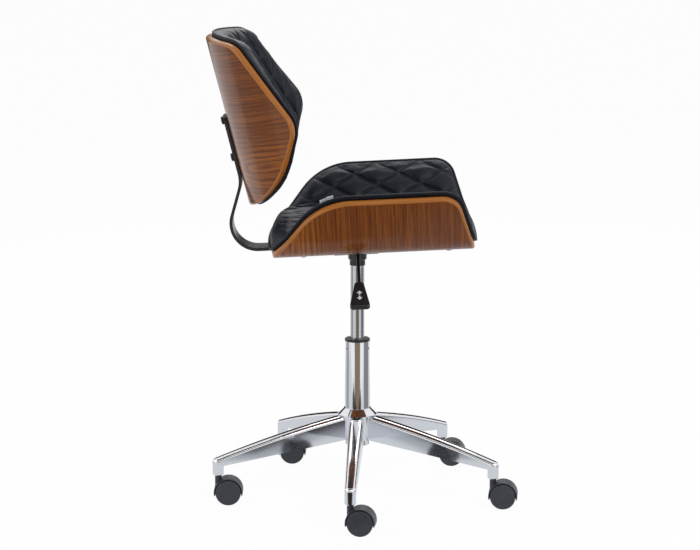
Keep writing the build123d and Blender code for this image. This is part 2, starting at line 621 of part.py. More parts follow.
def pad_row(across, low, high, thickness, drop, depth):
    """Closed line of (along, height) points: heel, quilted top, nose and feet."""
    edge = min(PAD_EDGE_RADIUS, PAD_EDGE_SHARE * thickness)
    tail, head = low + edge, high - edge
    shoulder = PAD_SHOULDER * thickness
    draw_in = PAD_DRAW_IN * edge
    top = []
    for i in range(-QUILT_COLUMNS, QUILT_COLUMNS + 1):
        along = i * QUILT_LENGTH / QUILT_STEPS
        if along < tail + PAD_SNAP:
            top.append((tail, thickness))
        elif along > head - PAD_SNAP:
            top.append((head, thickness))
        else:
            share = (along - tail) / (head - tail)
            crown = 4 * share * (1 - share) * PAD_CROWN * thickness / PAD_THICKNESS
            top.append((along, thickness + crown - depth * (1 - pillow(along, across))))
    skirt = PAD_SKIRT + PAD_DROP
    return ([(low, -drop), (low + draw_in, shoulder)] + top + [(high - draw_in, shoulder), (high, -drop),
            (high - PAD_SKIRT, -drop), (high - skirt, 0.0), (low + skirt, 0.0), (low + PAD_SKIRT, -drop)])


def triangle(corners):
    return Face(Wire.make_polygon(corners, close=True))


def faceted(rows):
    """Solid through rows of points, each row a closed flat line with as many points as the others."""
    faces = []
    for j, (row, following) in enumerate(zip(rows, rows[1:])):
        for i in range(len(row)):
            a, b = row[i - 1], row[i]
            c, d = following[i - 1], following[i]
            column = i - 1 - HEEL_POINTS - QUILT_COLUMNS
            rising = (column - j + len(rows) // 2) % 2 == 0
            halves = ((a, b, d), (a, d, c)) if rising else ((a, b, c), (b, d, c))
            faces += [triangle(half) for half in halves if len(set(half)) == 3]
    for row in (rows[0], rows[-1]):
        corners = [point for i, point in enumerate(row) if point != row[i - 1]]
        faces.append(triangle(corners))
    return Solid(Shell(faces))


def lattice(end, board_end):
    """Places of the pad's rows across the panel, from one side edge to the other."""
    step = QUILT_WIDTH / QUILT_STEPS
    count = int((board_end - PAD_SNAP) / step)
    inner = [step * j for j in range(-count, count + 1)]
    return [-end, -board_end] + inner + [board_end, end]


def seat_pad():
    flare = math.radians(SEAT_FLARE)
    outline = seat_outline()
    bend = SEAT_BEND_RADIUS - PAD_BASE
    bend_end = SEAT_FLAT_HALF + bend * flare
    flap = (SEAT_RIM_HEIGHT - SEAT_BEND_RADIUS * (1 - math.cos(flare))) / math.sin(flare)
    end = bend_end + flap - PAD_RIM_INSET
    board_end = bend_end + flap - BOARD_MARGIN / math.sin(flare)
    thickness = [(0.0, PAD_THICKNESS), (bend_end, PAD_THICKNESS),
                 ((bend_end + board_end) / 2, PAD_FLAP_THICKNESS), (board_end, PAD_FLAP_THICKNESS),
                 (end, PAD_RIM_THICKNESS)]
    rows = []
    for across in lattice(end, board_end):
        out = abs(across)
        side = math.copysign(1, across)
        angle = min(max((out - SEAT_FLAT_HALF) / bend, 0.0), flare)
        climb = max(out - bend_end, 0.0)
        y = min(out, SEAT_FLAT_HALF) + bend * math.sin(angle) + climb * math.cos(flare)
        z = SEAT_BEND_RADIUS - bend * math.cos(angle) + climb * math.sin(flare)
        outer_z = SEAT_BEND_RADIUS * (1 - math.cos(angle)) + climb * math.sin(flare)
        low, high = span(outline, (-FAR, outer_z), (1, 0))
        bow = 1 - min(out / SEAT_FLAT_HALF, 1.0) ** 2
        low = low - PAD_OVERHANG - bow * SEAT_REAR_BULGE
        high = high + PAD_OVERHANG + bow * SEAT_FRONT_BULGE
        sunk = BOARD_THICKNESS if out == end else 0.0
        depth = QUILT_DEPTH if out < board_end else 0.0
        line = pad_row(across, low, high, between(thickness, out), PAD_DROP - sunk, depth)
        tilt = Vector(-math.sin(angle), math.cos(angle))
        points = [(along, Vector(y, z) + tilt * (height - sunk)) for along, height in line]
        rows.append([(along, side * point.X, point.Y) for along, point in points])
    return faceted(rows)


def back_pad():
    outline = back_outline()
    radius = BACK_RADIUS - PAD_BASE
    reach = BACK_WING_DEPTH - BACK_WING_INSET
    end = radius * math.acos(1 - reach / BACK_RADIUS)
    board_end = radius * math.acos(1 - (reach - BOARD_MARGIN) / BACK_RADIUS)
    thickness = [(0.0, BACK_PAD_THICKNESS), (BACK_PAD_SHARE * board_end, BACK_PAD_THICKNESS),
                 (board_end, PAD_FLAP_THICKNESS), (end, PAD_RIM_THICKNESS)]
    rows = []
    for across in lattice(end, board_end):
        out = abs(across)
        angle = across / radius
        low, high = span(outline, (BACK_RADIUS * (1 - math.cos(angle)), -FAR), (0, 1))
        sunk = BOARD_THICKNESS if out == end else 0.0
        depth = QUILT_DEPTH if out < board_end else 0.0
        line = pad_row(across, low, high, between(thickness, out), PAD_DROP - sunk, depth)
        rows.append([(BACK_RADIUS - (radius - height + sunk) * math.cos(angle),
                      (radius - height + sunk) * math.sin(angle), along) for along, height in line])
    return faceted(rows)


# Fasteners, each with its head's bearing face at height 0 and its shank pointing up
def bolt(diameter, head_diameter, head_height, length):
    head = disc(head_diameter, -head_height, 0)
    head = fillet(head.edges().group_by(Axis.Z)[0], BOLT_HEAD_ROUND * head_height)
    return head + disc(diameter, 0, length)


def t_nut():
    """T-nut flush with the shell's upper face, seen from the shell's underside at height 0."""
    flange_low = SHELL_THICKNESS - TNUT_FLANGE
    body = disc(TNUT_FLANGE_DIAMETER, flange_low, SHELL_THICKNESS) + disc(
        TNUT_BARREL_DIAMETER, flange_low - TNUT_BARREL_LENGTH, flange_low)
    return body - disc(BOLT_DIAMETER + 2 * SEATING_GAP, 0, 2 * SHELL_THICKNESS)


def t_nut_hole():
    wide = disc(TNUT_FLANGE_DIAMETER + 2 * SEATING_GAP, SHELL_THICKNESS - TNUT_FLANGE - SEATING_GAP,
                2 * SHELL_THICKNESS)
    return wide + disc(TNUT_BARREL_DIAMETER + 2 * SEATING_GAP, -CUT_SPARE, 2 * SHELL_THICKNESS)


def insert_nut(shank):
    """Threaded insert through the board that lies on the shell."""
    low = SHELL_THICKNESS + FACE_GAP
    return ring(INSERT_DIAMETER, shank + 2 * SEATING_GAP, low, low + BOARD_THICKNESS)


def pan_bolt_places():
    ends = (PAN_CENTRE - PAN_LENGTH / 2 + PAN_BOLT_INSET, PAN_CENTRE + PAN_LENGTH / 2 - PAN_BOLT_INSET)
    return [Pos(x, y, 0) for x in ends for y in (-PAN_BOLT_Y, PAN_BOLT_Y)]


def bar_bolt_places():
    return [Pos(x, 0, 0) for x in BAR_BOLTS_X]


def pad_bolt_places():
    return [Pos(x, y, 0) for x in PAD_BOLTS_X for y in (-PAD_BOLT_Y, PAD_BOLT_Y)]


def back_bolt_places():
    return [Pos(0, 0, z) * Rot(0, 90, 0) for z in BACK_BOLT_HEIGHTS]


# Seat pan and lever, in the seat's frame
def to_seat(piece):
    """Takes a piece from the chair's frame into the seat's."""
    return SEAT_FRAME.inverse() * piece


def seat_pan():
    x_low, x_high = PAN_CENTRE - PAN_LENGTH / 2, PAN_CENTRE + PAN_LENGTH / 2
    half = PAN_WIDTH / 2
    wall = PAN_WALL
    tray = block(x_low, x_high, -half, half, -PAN_DEPTH, -SEATING_GAP)
    flange_half = half + PAN_FLANGE
    flange = block(x_low, x_high, -flange_half, flange_half, -wall, -SEATING_GAP)
    inside = block(x_low + wall, x_high - wall, wall - half, half - wall, wall - PAN_DEPTH, CUT_SPARE)
    pan = tray + flange - inside
    slot = LEVER_ROD_DIAMETER / 2 + 2 * FACE_GAP
    window = block(-slot, slot, -half - wall, -half + 2 * wall, wall - PAN_DEPTH, -wall)
    pan = pan - window
    ear_low = LEVER_BOSS_LENGTH / 2 + FACE_GAP
    for side in (-1, 1):
        ear = Pos(side * (ear_low + EAR_THICKNESS / 2), -LEVER_ARM, 0) * block(
            -EAR_THICKNESS / 2, EAR_THICKNESS / 2, -EAR_WIDTH / 2, EAR_WIDTH / 2, wall / 2 - PAN_DEPTH,
            LEVER_PIVOT_Z + LEVER_PIN_DIAMETER)
        pan = pan + ear
    pin = Pos(0, -LEVER_ARM, LEVER_PIVOT_Z) * Rot(0, 90, 0) * Cylinder(
        LEVER_PIN_DIAMETER / 2 + SEATING_GAP, 4 * LEVER_BOSS_LENGTH)
    collar = to_seat(disc(COLLAR_FLARE_DIAMETER + 2 * SEATING_GAP, COLLAR_BOTTOM, 2 * SEAT_HEIGHT))
    for place in pan_bolt_places():
        pan = pan - place * disc(BOLT_DIAMETER + 2 * SEATING_GAP, -PAN_DEPTH, CUT_SPARE)
    return pan - pin - (collar & inside_reach())


def inside_reach():
    """Room round the pan, so that the collar's hole ends inside it."""
    top = PAN_WALL - PAN_DEPTH + CUT_SPARE
    return block(-PAN_LENGTH, PAN_LENGTH, -PAN_WIDTH, PAN_WIDTH, -2 * PAN_DEPTH, top)


def taper_socket():
    top = TUBE_TOP - TUBE_PROUD
    gap = SEATING_GAP
    flare_rise = (COLLAR_FLARE_DIAMETER - COLLAR_DIAMETER) / 2
    return turned([(tube_radius(COLLAR_BOTTOM, gap), COLLAR_BOTTOM), (COLLAR_DIAMETER / 2, COLLAR_BOTTOM),
                   (COLLAR_DIAMETER / 2, COLLAR_FLARE - flare_rise),
                   (COLLAR_FLARE_DIAMETER / 2, COLLAR_FLARE), (COLLAR_FLARE_DIAMETER / 2, top),
                   (tube_radius(top, gap), top)])


def lever_run():
    """Sloping direction of the lever from its bend."""
    drop = math.radians(LEVER_DROP_ANGLE)
    return Vector(0, -math.cos(drop), -math.sin(drop))


def lever_rod():
    pivot = Pos(0, -LEVER_ARM, LEVER_PIVOT_Z) * Rot(0, 90, 0)
    boss = pivot * Cylinder(LEVER_BOSS_DIAMETER / 2, LEVER_BOSS_LENGTH)
    half = LEVER_TONGUE_WIDTH / 2
    tongue = block(-half, half, -LEVER_ARM, LEVER_TONGUE_END, LEVER_PIVOT_Z,
                   LEVER_PIVOT_Z + LEVER_TONGUE_THICKNESS)
    bend = Vector(0, -LEVER_BEND_REACH, LEVER_PIVOT_Z)
    path = FilletPolyline((0, -LEVER_ARM, LEVER_PIVOT_Z), bend, bend + lever_run() * LEVER_ROD_LENGTH,
                          radius=LEVER_BEND_RADIUS)
    rod = sweep(Plane(origin=path @ 0, z_dir=path % 0) * Circle(LEVER_ROD_DIAMETER / 2), path=path)
    bore = pivot * Cylinder(LEVER_PIN_DIAMETER / 2 + RUNNING_GAP, 4 * LEVER_BOSS_LENGTH)
    return boss + tongue + rod - bore


def lever_paddle():
    start = Vector(0, -LEVER_BEND_REACH, LEVER_PIVOT_Z) + lever_run() * PADDLE_START
    plane = Plane(origin=start, x_dir=(1, 0, 0), z_dir=Vector(1, 0, 0).cross(lever_run()))
    root, end = PADDLE_ROOT_WIDTH / 2, PADDLE_END_WIDTH / 2
    corners = ((-root, 0), (root, 0), (end, PADDLE_LENGTH), (-end, PADDLE_LENGTH))
    outline = make_face(Polyline(*corners, close=True))
    outline = fillet(outline.vertices(), PADDLE_CORNER)
    slab = extrude(plane * outline, PADDLE_THICKNESS / 2, both=True)
    rims = slab.faces().filter_by(plane).edges()
    slab = fillet(rims, PADDLE_EDGE)
    depth = LEVER_ROD_LENGTH - PADDLE_START
    bore = extrude(Plane(origin=start, z_dir=lever_run()) * Circle(LEVER_ROD_DIAMETER / 2 + SEATING_GAP),
                   depth + FACE_GAP)
    return slab - bore


def lever_pin():
    half = LEVER_BOSS_LENGTH / 2 + FACE_GAP + EAR_THICKNESS + LEVER_PIN_PROUD
    return Pos(0, -LEVER_ARM, LEVER_PIVOT_Z) * Rot(0, 90, 0) * Cylinder(LEVER_PIN_DIAMETER / 2, 2 * half)


# Seat pieces, in the seat's frame
def seat_shell():
    shell = seat_panel(0.0, SHELL_THICKNESS, 0.0)
    for place in pan_bolt_places() + bar_bolt_places():
        shell = shell - place * t_nut_hole()
    for place in pad_bolt_places():
        shell = shell - place * disc(BOLT_DIAMETER + 2 * FACE_GAP, -CUT_SPARE, 2 * SHELL_THICKNESS)
    return shell


def seat_board():
    board = seat_panel(SHELL_THICKNESS + FACE_GAP, BOARD_THICKNESS, BOARD_MARGIN)
    for place in pad_bolt_places():
        board = board - place * disc(INSERT_DIAMETER + 2 * SEATING_GAP, 0, 3 * SHELL_THICKNESS)
    return board


def pad_bolts():
    length = SHELL_THICKNESS + FACE_GAP + BOARD_THICKNESS - THREAD_SHORT
    return [place * bolt(BOLT_DIAMETER, BOLT_HEAD_DIAMETER, BOLT_HEAD_HEIGHT, length)
            for place in pad_bolt_places()]


def pan_bolts():
    length = SHELL_THICKNESS + PAN_WALL - THREAD_SHORT
    return [place * Pos(0, 0, -PAN_WALL) * bolt(BOLT_DIAMETER, BOLT_HEAD_DIAMETER, BOLT_HEAD_HEIGHT, length)
            for place in pan_bolt_places()]


def bar_bolts():
    length = SHELL_THICKNESS + BAR_THICKNESS - THREAD_SHORT
    drop = BAR_THICKNESS + SEATING_GAP
    return [place * Pos(0, 0, -drop) * bolt(BOLT_DIAMETER, BOLT_HEAD_DIAMETER, BOLT_HEAD_HEIGHT, length)
            for place in bar_bolt_places()]


def seat_nuts():
    return ([place * t_nut() for place in pan_bolt_places() + bar_bolt_places()]
            + [place * insert_nut(BOLT_DIAMETER) for place in pad_bolt_places()])


# Spring bar, in the chair's frame
def bar_line():
    """Centre line of the bar's side view: down the spine, back and round under the seat."""
    middle = SEATING_GAP + BAR_THICKNESS / 2
    top = (BACK_FRAME * Pos(-middle, 0, BAR_TOP)).position
    leave = (BACK_FRAME * Pos(-middle, 0, BAR_LEAVE)).position
    front = (SEAT_FRAME * Pos(BAR_FRONT, 0, -middle)).position
    rise = math.tan(math.radians(SEAT_TILT))
    lean = math.tan(math.radians(BAR_REAR_SLOPE))
    heel_z = (front.Z + rise * (leave.X - lean * leave.Z - front.X)) / (1 - rise * lean)
    heel_x = leave.X + lean * (heel_z - leave.Z)
    return FilletPolyline((top.X, top.Z), (leave.X, leave.Z), (heel_x, heel_z), (front.X, front.Z),
                          radius=(BAR_UPPER_RADIUS, BAR_LOWER_RADIUS))


def back_bar():
    strip = trace(bar_line(), BAR_THICKNESS)
    bar = extrude(Plane.XZ * strip, BAR_WIDTH / 2, both=True)
    corners = bar.edges().filter_by(lambda e: e.length < BAR_THICKNESS + CUT_SPARE)
    bar = fillet(corners, BAR_CORNER)
    seat_hole = disc(BOLT_DIAMETER + 2 * SEATING_GAP, -3 * BAR_THICKNESS, BAR_THICKNESS)
    for place in bar_bolt_places():
        bar = bar - SEAT_FRAME * place * seat_hole
    back_hole = disc(BACK_BOLT_DIAMETER + 2 * SEATING_GAP, -3 * BAR_THICKNESS, BAR_THICKNESS)
    for place in back_bolt_places():
        bar = bar - BACK_FRAME * place * back_hole
    return bar


# Back pieces, in the back's frame
def back_shell():
    shell = back_panel(0.0, SHELL_THICKNESS, 0.0)
    for place in back_bolt_places():
        shell = shell - place * disc(BACK_BOLT_DIAMETER + 2 * FACE_GAP, -CUT_SPARE, 2 * SHELL_THICKNESS)
    return shell


def back_board():
    board = back_panel(SHELL_THICKNESS + FACE_GAP, BOARD_THICKNESS, BOARD_MARGIN)
    for place in back_bolt_places():
        board = board - place * disc(INSERT_DIAMETER + 2 * SEATING_GAP, 0, 3 * SHELL_THICKNESS)
    return board


def back_bolts():
    drop = BAR_THICKNESS + 2 * SEATING_GAP
    washer = ring(WASHER_DIAMETER, BACK_BOLT_DIAMETER + 2 * SEATING_GAP, -drop - WASHER_THICKNESS, -drop)
    length = drop + WASHER_THICKNESS + SHELL_THICKNESS + FACE_GAP + BOARD_THICKNESS - THREAD_SHORT
    one = Pos(0, 0, -drop - WASHER_THICKNESS) * bolt(BACK_BOLT_DIAMETER, BACK_BOLT_HEAD_DIAMETER,
                                                    BACK_BOLT_HEAD_HEIGHT, length)
    return [place * piece for place in back_bolt_places() for piece in (one, washer)]


def back_nuts():
    return [place * insert_nut(BACK_BOLT_DIAMETER) for place in back_bolt_places()]


def group(pieces, frame):
    return Compound(children=[frame * piece for piece in pieces])


nodes["hub"] = hub()
nodes["hub_cap"] = hub_cap()
arm = base_arm()
hood, axle, stem = castor_hood(), castor_axle(), castor_stem()
wheels = {"left": castor_wheel(1), "right": castor_wheel(-1)}
for i in range(ARM_COUNT):
    turn = Rot(0, 0, ARM_FIRST_ANGLE + 360 / ARM_COUNT * i)
    foot = turn * Pos(ARM_REACH, 0, 0) * turn.inverse() * Rot(0, 0, -CASTOR_YAW[i])
    nodes[f"base_arm_{i + 1}"] = turn * arm
    nodes[f"castor_stem_{i + 1}"] = foot * stem
    nodes[f"castor_hood_{i + 1}"] = foot * hood
    nodes[f"castor_axle_{i + 1}"] = foot * axle
    for side, wheel in wheels.items():
        nodes[f"castor_wheel_{side}_{i + 1}"] = foot * wheel

nodes["column_tube"] = column_tube()
nodes["guide_bush"] = guide_bush()
nodes["thrust_bearing"] = thrust_bearing()
nodes["piston_rod"] = piston_rod()
nodes["rod_clip"] = rod_clip()
nodes["buffer_ring"] = buffer_ring()
nodes["pressure_tube"] = pressure_tube()
nodes["rod_seal"] = rod_seal()
nodes["valve_button"] = valve_button()
nodes["taper_socket"] = taper_socket()
nodes["seat_pan"] = SEAT_FRAME * seat_pan()
nodes["lever_rod"] = SEAT_FRAME * lever_rod()
nodes["lever_paddle"] = SEAT_FRAME * lever_paddle()
nodes["lever_pin"] = SEAT_FRAME * lever_pin()
nodes["seat_shell"] = SEAT_FRAME * seat_shell()
nodes["seat_board"] = SEAT_FRAME * seat_board()
nodes["seat_cushion"] = SEAT_FRAME * seat_pad()
nodes["pad_bolts"] = group(pad_bolts(), SEAT_FRAME)
nodes["pan_bolts"] = group(pan_bolts(), SEAT_FRAME)
nodes["bar_bolts"] = group(bar_bolts(), SEAT_FRAME)
nodes["seat_nuts"] = group(seat_nuts(), SEAT_FRAME)
nodes["back_bar"] = back_bar()
nodes["back_shell"] = BACK_FRAME * back_shell()
nodes["back_board"] = BACK_FRAME * back_board()
nodes["back_cushion"] = BACK_FRAME * back_pad()
nodes["back_bolts"] = group(back_bolts(), BACK_FRAME)
nodes["back_nuts"] = group(back_nuts(), BACK_FRAME)

os.makedirs("parts", exist_ok=True)
for name, piece in nodes.items():
    export_step(piece, os.path.join("parts", name + ".step"))
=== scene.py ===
import math

import bmesh
import bpy
import numpy as np
from mathutils import Matrix, Vector


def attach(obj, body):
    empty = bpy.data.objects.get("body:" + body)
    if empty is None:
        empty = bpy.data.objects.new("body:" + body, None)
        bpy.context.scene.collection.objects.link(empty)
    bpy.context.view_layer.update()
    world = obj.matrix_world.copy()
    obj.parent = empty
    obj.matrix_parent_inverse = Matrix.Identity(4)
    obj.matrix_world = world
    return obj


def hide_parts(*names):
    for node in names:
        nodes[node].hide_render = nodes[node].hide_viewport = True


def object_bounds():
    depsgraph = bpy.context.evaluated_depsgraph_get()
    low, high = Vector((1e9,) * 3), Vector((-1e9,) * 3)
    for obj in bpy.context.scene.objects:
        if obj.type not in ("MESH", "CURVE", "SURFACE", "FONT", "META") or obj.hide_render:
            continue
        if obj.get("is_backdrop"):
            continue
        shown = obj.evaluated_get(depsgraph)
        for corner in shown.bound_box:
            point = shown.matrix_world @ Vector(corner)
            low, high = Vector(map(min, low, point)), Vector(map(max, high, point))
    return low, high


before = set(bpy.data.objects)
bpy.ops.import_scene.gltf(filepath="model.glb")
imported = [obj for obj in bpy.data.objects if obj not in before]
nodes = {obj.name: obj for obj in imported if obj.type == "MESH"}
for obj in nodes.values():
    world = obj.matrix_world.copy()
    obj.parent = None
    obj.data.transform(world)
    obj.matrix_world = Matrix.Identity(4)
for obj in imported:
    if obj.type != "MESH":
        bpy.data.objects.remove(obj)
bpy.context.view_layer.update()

# Star base: five pressed steel arms round a hub, with a spun cap and the gas lift's outer column.
# Steel, polished and plated with nickel and chromium: a bright mirror with a faint polishing haze.
CHROME_PIECES = ["hub", "hub_cap", "column_tube"] + [f"base_arm_{k}" for k in range(1, 6)]
CHROME_TINT = "#e6e6ea"
CHROME_ROUGH = (0.06, 0.12)
HAZE_MM = 35.0


def linear(code):
    """Linear RGBA of an sRGB hex colour."""
    parts = [int(code[i:i + 2], 16) / 255 for i in (1, 3, 5)]
    return [c / 12.92 if c <= 0.04045 else ((c + 0.055) / 1.055) ** 2.4 for c in parts] + [1.0]


def add_node(tree, kind, links=None, **settings):
    """Adds a node; links maps its inputs to sockets or to plain values."""
    made = tree.nodes.new(kind)
    for name, value in settings.items():
        setattr(made, name, value)
    for key, value in (links or {}).items():
        if isinstance(value, bpy.types.NodeSocket):
            tree.links.new(value, made.inputs[key])
        else:
            made.inputs[key].default_value = value
    return made


def new_finish(name):
    """Empty material, with its node tree and its shader."""
    material = bpy.data.materials.new(name)
    material.use_nodes = True
    return material, material.node_tree, material.node_tree.nodes["Principled BSDF"]


def dress(names, material):
    """Gives CAD nodes one material."""
    for name in names:
        mesh = nodes[name].data
        mesh.materials.clear()
        mesh.materials.append(material)


chrome, tree, skin = new_finish("bright_chrome_plate")
skin.inputs["Base Color"].default_value = linear(CHROME_TINT)
skin.inputs["Metallic"].default_value = 1.0
place = add_node(tree, "ShaderNodeTexCoord").outputs["Object"]
haze = add_node(tree, "ShaderNodeTexNoise", {"Vector": place, "Scale": 1000 / HAZE_MM, "Detail": 3.0})
gloss = add_node(tree, "ShaderNodeMapRange", {"Value": haze.outputs["Fac"], "To Min": CHROME_ROUGH[0],
                                              "To Max": CHROME_ROUGH[1]})
tree.links.new(gloss.outputs["Result"], skin.inputs["Roughness"])
dress(CHROME_PIECES, chrome)

# Castors: twin wheels under a hood, turning on a plated stem with a spring ring.
# Glass-filled nylon, injection moulded in a spark-eroded mould: dark grey with a fine grain and a soft sheen.
CASTOR_PIECES = [f"castor_{part}_{k}" for part in ("hood", "wheel_left", "wheel_right") for k in range(1, 6)]
NYLON = ("#1c1f26", "#2e333c")
NYLON_ROUGH = (0.36, 0.5)
NYLON_CLOUD_MM, NYLON_GRAIN_MM = 25.0, 0.9
NYLON_RELIEF = (0.25, 0.0003)            # strength, and depth in metres

nylon, tree, skin = new_finish("moulded_grey_nylon")
skin.inputs["IOR"].default_value = 1.53
place = add_node(tree, "ShaderNodeTexCoord").outputs["Object"]
cloud = add_node(tree, "ShaderNodeTexNoise", {"Vector": place, "Scale": 1000 / NYLON_CLOUD_MM, "Detail": 4.0})
tone = add_node(tree, "ShaderNodeMix", {"Factor": cloud.outputs["Fac"], "A": linear(NYLON[0]),
                                        "B": linear(NYLON[1])}, data_type="RGBA")
tree.links.new(tone.outputs["Result"], skin.inputs["Base Color"])
gloss = add_node(tree, "ShaderNodeMapRange", {"Value": cloud.outputs["Fac"], "To Min": NYLON_ROUGH[0],
                                              "To Max": NYLON_ROUGH[1]})
tree.links.new(gloss.outputs["Result"], skin.inputs["Roughness"])
grain = add_node(tree, "ShaderNodeTexNoise", {"Vector": place, "Scale": 1000 / NYLON_GRAIN_MM, "Detail": 2.0})
relief = add_node(tree, "ShaderNodeBump", {"Height": grain.outputs["Fac"], "Strength": NYLON_RELIEF[0],
                                           "Distance": NYLON_RELIEF[1]})
tree.links.new(relief.outputs["Normal"], skin.inputs["Normal"])
dress(CASTOR_PIECES, nylon)

# Gas lift's inner tube, piston rod and bearing, the castors' stems and axles, and the nuts and bolts.
# Steel, ground and plated with zinc: grey metal with fine turning lines round the axis.
STEEL_PIECES = ["pressure_tube", "piston_rod", "thrust_bearing", "rod_clip", "valve_button", "lever_pin",
                "pad_bolts", "pan_bolts", "bar_bolts", "seat_nuts", "back_nuts"]
STEEL_PIECES += [f"castor_{part}_{k}" for part in ("stem", "axle") for k in range(1, 6)]
STEEL = ("#b4b5b9", "#c9cace")
STEEL_ROUGH = (0.08, 0.16)
TURNING_MM, TURNING_LONG_MM = 1.2, 50.0

steel, tree, skin = new_finish("ground_zinc_steel")
skin.inputs["Metallic"].default_value = 1.0
place = add_node(tree, "ShaderNodeTexCoord").outputs["Object"]
stretch = add_node(tree, "ShaderNodeMapping", {
    "Vector": place, "Scale": (1000 / TURNING_LONG_MM, 1000 / TURNING_LONG_MM, 1000 / TURNING_MM)})
lines = add_node(tree, "ShaderNodeTexNoise", {"Vector": stretch.outputs["Vector"], "Scale": 1.0,
                                              "Detail": 3.0})
tone = add_node(tree, "ShaderNodeMix", {"Factor": lines.outputs["Fac"], "A": linear(STEEL[0]),
                                        "B": linear(STEEL[1])}, data_type="RGBA")
tree.links.new(tone.outputs["Result"], skin.inputs["Base Color"])
gloss = add_node(tree, "ShaderNodeMapRange", {"Value": lines.outputs["Fac"], "To Min": STEEL_ROUGH[0],
                                              "To Max": STEEL_ROUGH[1]})
tree.links.new(gloss.outputs["Result"], skin.inputs["Roughness"])
dress(STEEL_PIECES, steel)

# Guide bush at the column's mouth, the buffer and seal inside the gas lift, and the lever's paddle.
# Acetal and nitrile rubber, moulded: black, slightly dusty, with a fine grain.
BLACK_PLASTIC_PIECES = ["guide_bush", "buffer_ring", "rod_seal", "lever_paddle"]
ACETAL = ("#141518", "#23252a")
ACETAL_ROUGH = (0.3, 0.45)
ACETAL_CLOUD_MM, ACETAL_GRAIN_MM = 16.667, 0.9
ACETAL_RELIEF = (0.2, 0.0003)

acetal, tree, skin = new_finish("moulded_black_plastic")
place = add_node(tree, "ShaderNodeTexCoord").outputs["Object"]
cloud = add_node(tree, "ShaderNodeTexNoise", {"Vector": place, "Scale": 1000 / ACETAL_CLOUD_MM,
                                              "Detail": 4.0})
tone = add_node(tree, "ShaderNodeMix", {"Factor": cloud.outputs["Fac"], "A": linear(ACETAL[0]),
                                        "B": linear(ACETAL[1])}, data_type="RGBA")
tree.links.new(tone.outputs["Result"], skin.inputs["Base Color"])
gloss = add_node(tree, "ShaderNodeMapRange", {"Value": cloud.outputs["Fac"], "To Min": ACETAL_ROUGH[0],
                                              "To Max": ACETAL_ROUGH[1]})
tree.links.new(gloss.outputs["Result"], skin.inputs["Roughness"])
grain = add_node(tree, "ShaderNodeTexNoise", {"Vector": place, "Scale": 1000 / ACETAL_GRAIN_MM})
relief = add_node(tree, "ShaderNodeBump", {"Height": grain.outputs["Fac"], "Strength": ACETAL_RELIEF[0],
                                           "Distance": ACETAL_RELIEF[1]})
tree.links.new(relief.outputs["Normal"], skin.inputs["Normal"])
dress(BLACK_PLASTIC_PIECES, acetal)

# Seat pan with its taper socket, the lever's rod, and the flat spring bar and bolts that carry the back.
# Bent and welded steel with a black polyester powder coat, which shows a faint orange peel.
COATED_PIECES = ["seat_pan", "taper_socket", "lever_rod", "back_bar", "back_bolts"]
POWDER = ("#121318", "#1d2028")
POWDER_ROUGH = (0.24, 0.36)
POWDER_CLOUD_MM, ORANGE_PEEL_MM = 40.0, 2.2
ORANGE_PEEL_RELIEF = (0.15, 0.0003)

powder, tree, skin = new_finish("black_powder_coat")
place = add_node(tree, "ShaderNodeTexCoord").outputs["Object"]
cloud = add_node(tree, "ShaderNodeTexNoise", {"Vector": place, "Scale": 1000 / POWDER_CLOUD_MM,
                                              "Detail": 3.0})
tone = add_node(tree, "ShaderNodeMix", {"Factor": cloud.outputs["Fac"], "A": linear(POWDER[0]),
                                        "B": linear(POWDER[1])}, data_type="RGBA")
tree.links.new(tone.outputs["Result"], skin.inputs["Base Color"])
gloss = add_node(tree, "ShaderNodeMapRange", {"Value": cloud.outputs["Fac"], "To Min": POWDER_ROUGH[0],
                                              "To Max": POWDER_ROUGH[1]})
tree.links.new(gloss.outputs["Result"], skin.inputs["Roughness"])
peel = add_node(tree, "ShaderNodeTexNoise", {"Vector": place, "Scale": 1000 / ORANGE_PEEL_MM})
relief = add_node(tree, "ShaderNodeBump", {"Height": peel.outputs["Fac"], "Strength": ORANGE_PEEL_RELIEF[0],
                                           "Distance": ORANGE_PEEL_RELIEF[1]})
tree.links.new(relief.outputs["Normal"], skin.inputs["Normal"])
dress(COATED_PIECES, powder)

# Sign on the lever's paddle: a plain up-and-down arrow.
# White ink, pad-printed: a thin matt layer on the paddle's upper face, a little worn.
SEAT_PLACE = Matrix.Translation((0, 0, 0.514)) @ Matrix.Rotation(math.radians(-2.77), 4, "Y")
LEVER_BEND = Vector((0, -0.048, -0.0087))    # where the lever's rod turns down
LEVER_DROP = math.radians(27.0)
SIGN_CENTRE = 0.152                          # along the sloping run, from the lever's bend
PADDLE_HALF = 0.0055
INK_LAYER = 0.00015
ARROW = ((-0.0016, 0.0015), (0.0016, 0.0015), (0.0016, 0.007), (0.0055, 0.007), (0.0, 0.014),
         (-0.0055, 0.007), (-0.0016, 0.007))
INK = ("#e4e4e2", "#b9bab9")
INK_WEAR_MM = 1.6667


def shaped_piece(name, shape, materials):
    """Turns a finished bmesh into an object of the scene."""
    mesh = bpy.data.meshes.new(name)
    shape.to_mesh(mesh)
    shape.free()
    for material in materials:
        mesh.materials.append(material)
    piece = bpy.data.objects.new(name, mesh)
    bpy.context.scene.collection.objects.link(piece)
    return piece


ink, tree, skin = new_finish("white_pad_print")
skin.inputs["Roughness"].default_value = 0.6
place = add_node(tree, "ShaderNodeTexCoord").outputs["Object"]
wear = add_node(tree, "ShaderNodeTexNoise", {"Vector": place, "Scale": 1000 / INK_WEAR_MM, "Detail": 4.0})
tone = add_node(tree, "ShaderNodeMix", {"Factor": wear.outputs["Fac"], "A": linear(INK[0]),
                                        "B": linear(INK[1])}, data_type="RGBA")
tree.links.new(tone.outputs["Result"], skin.inputs["Base Color"])

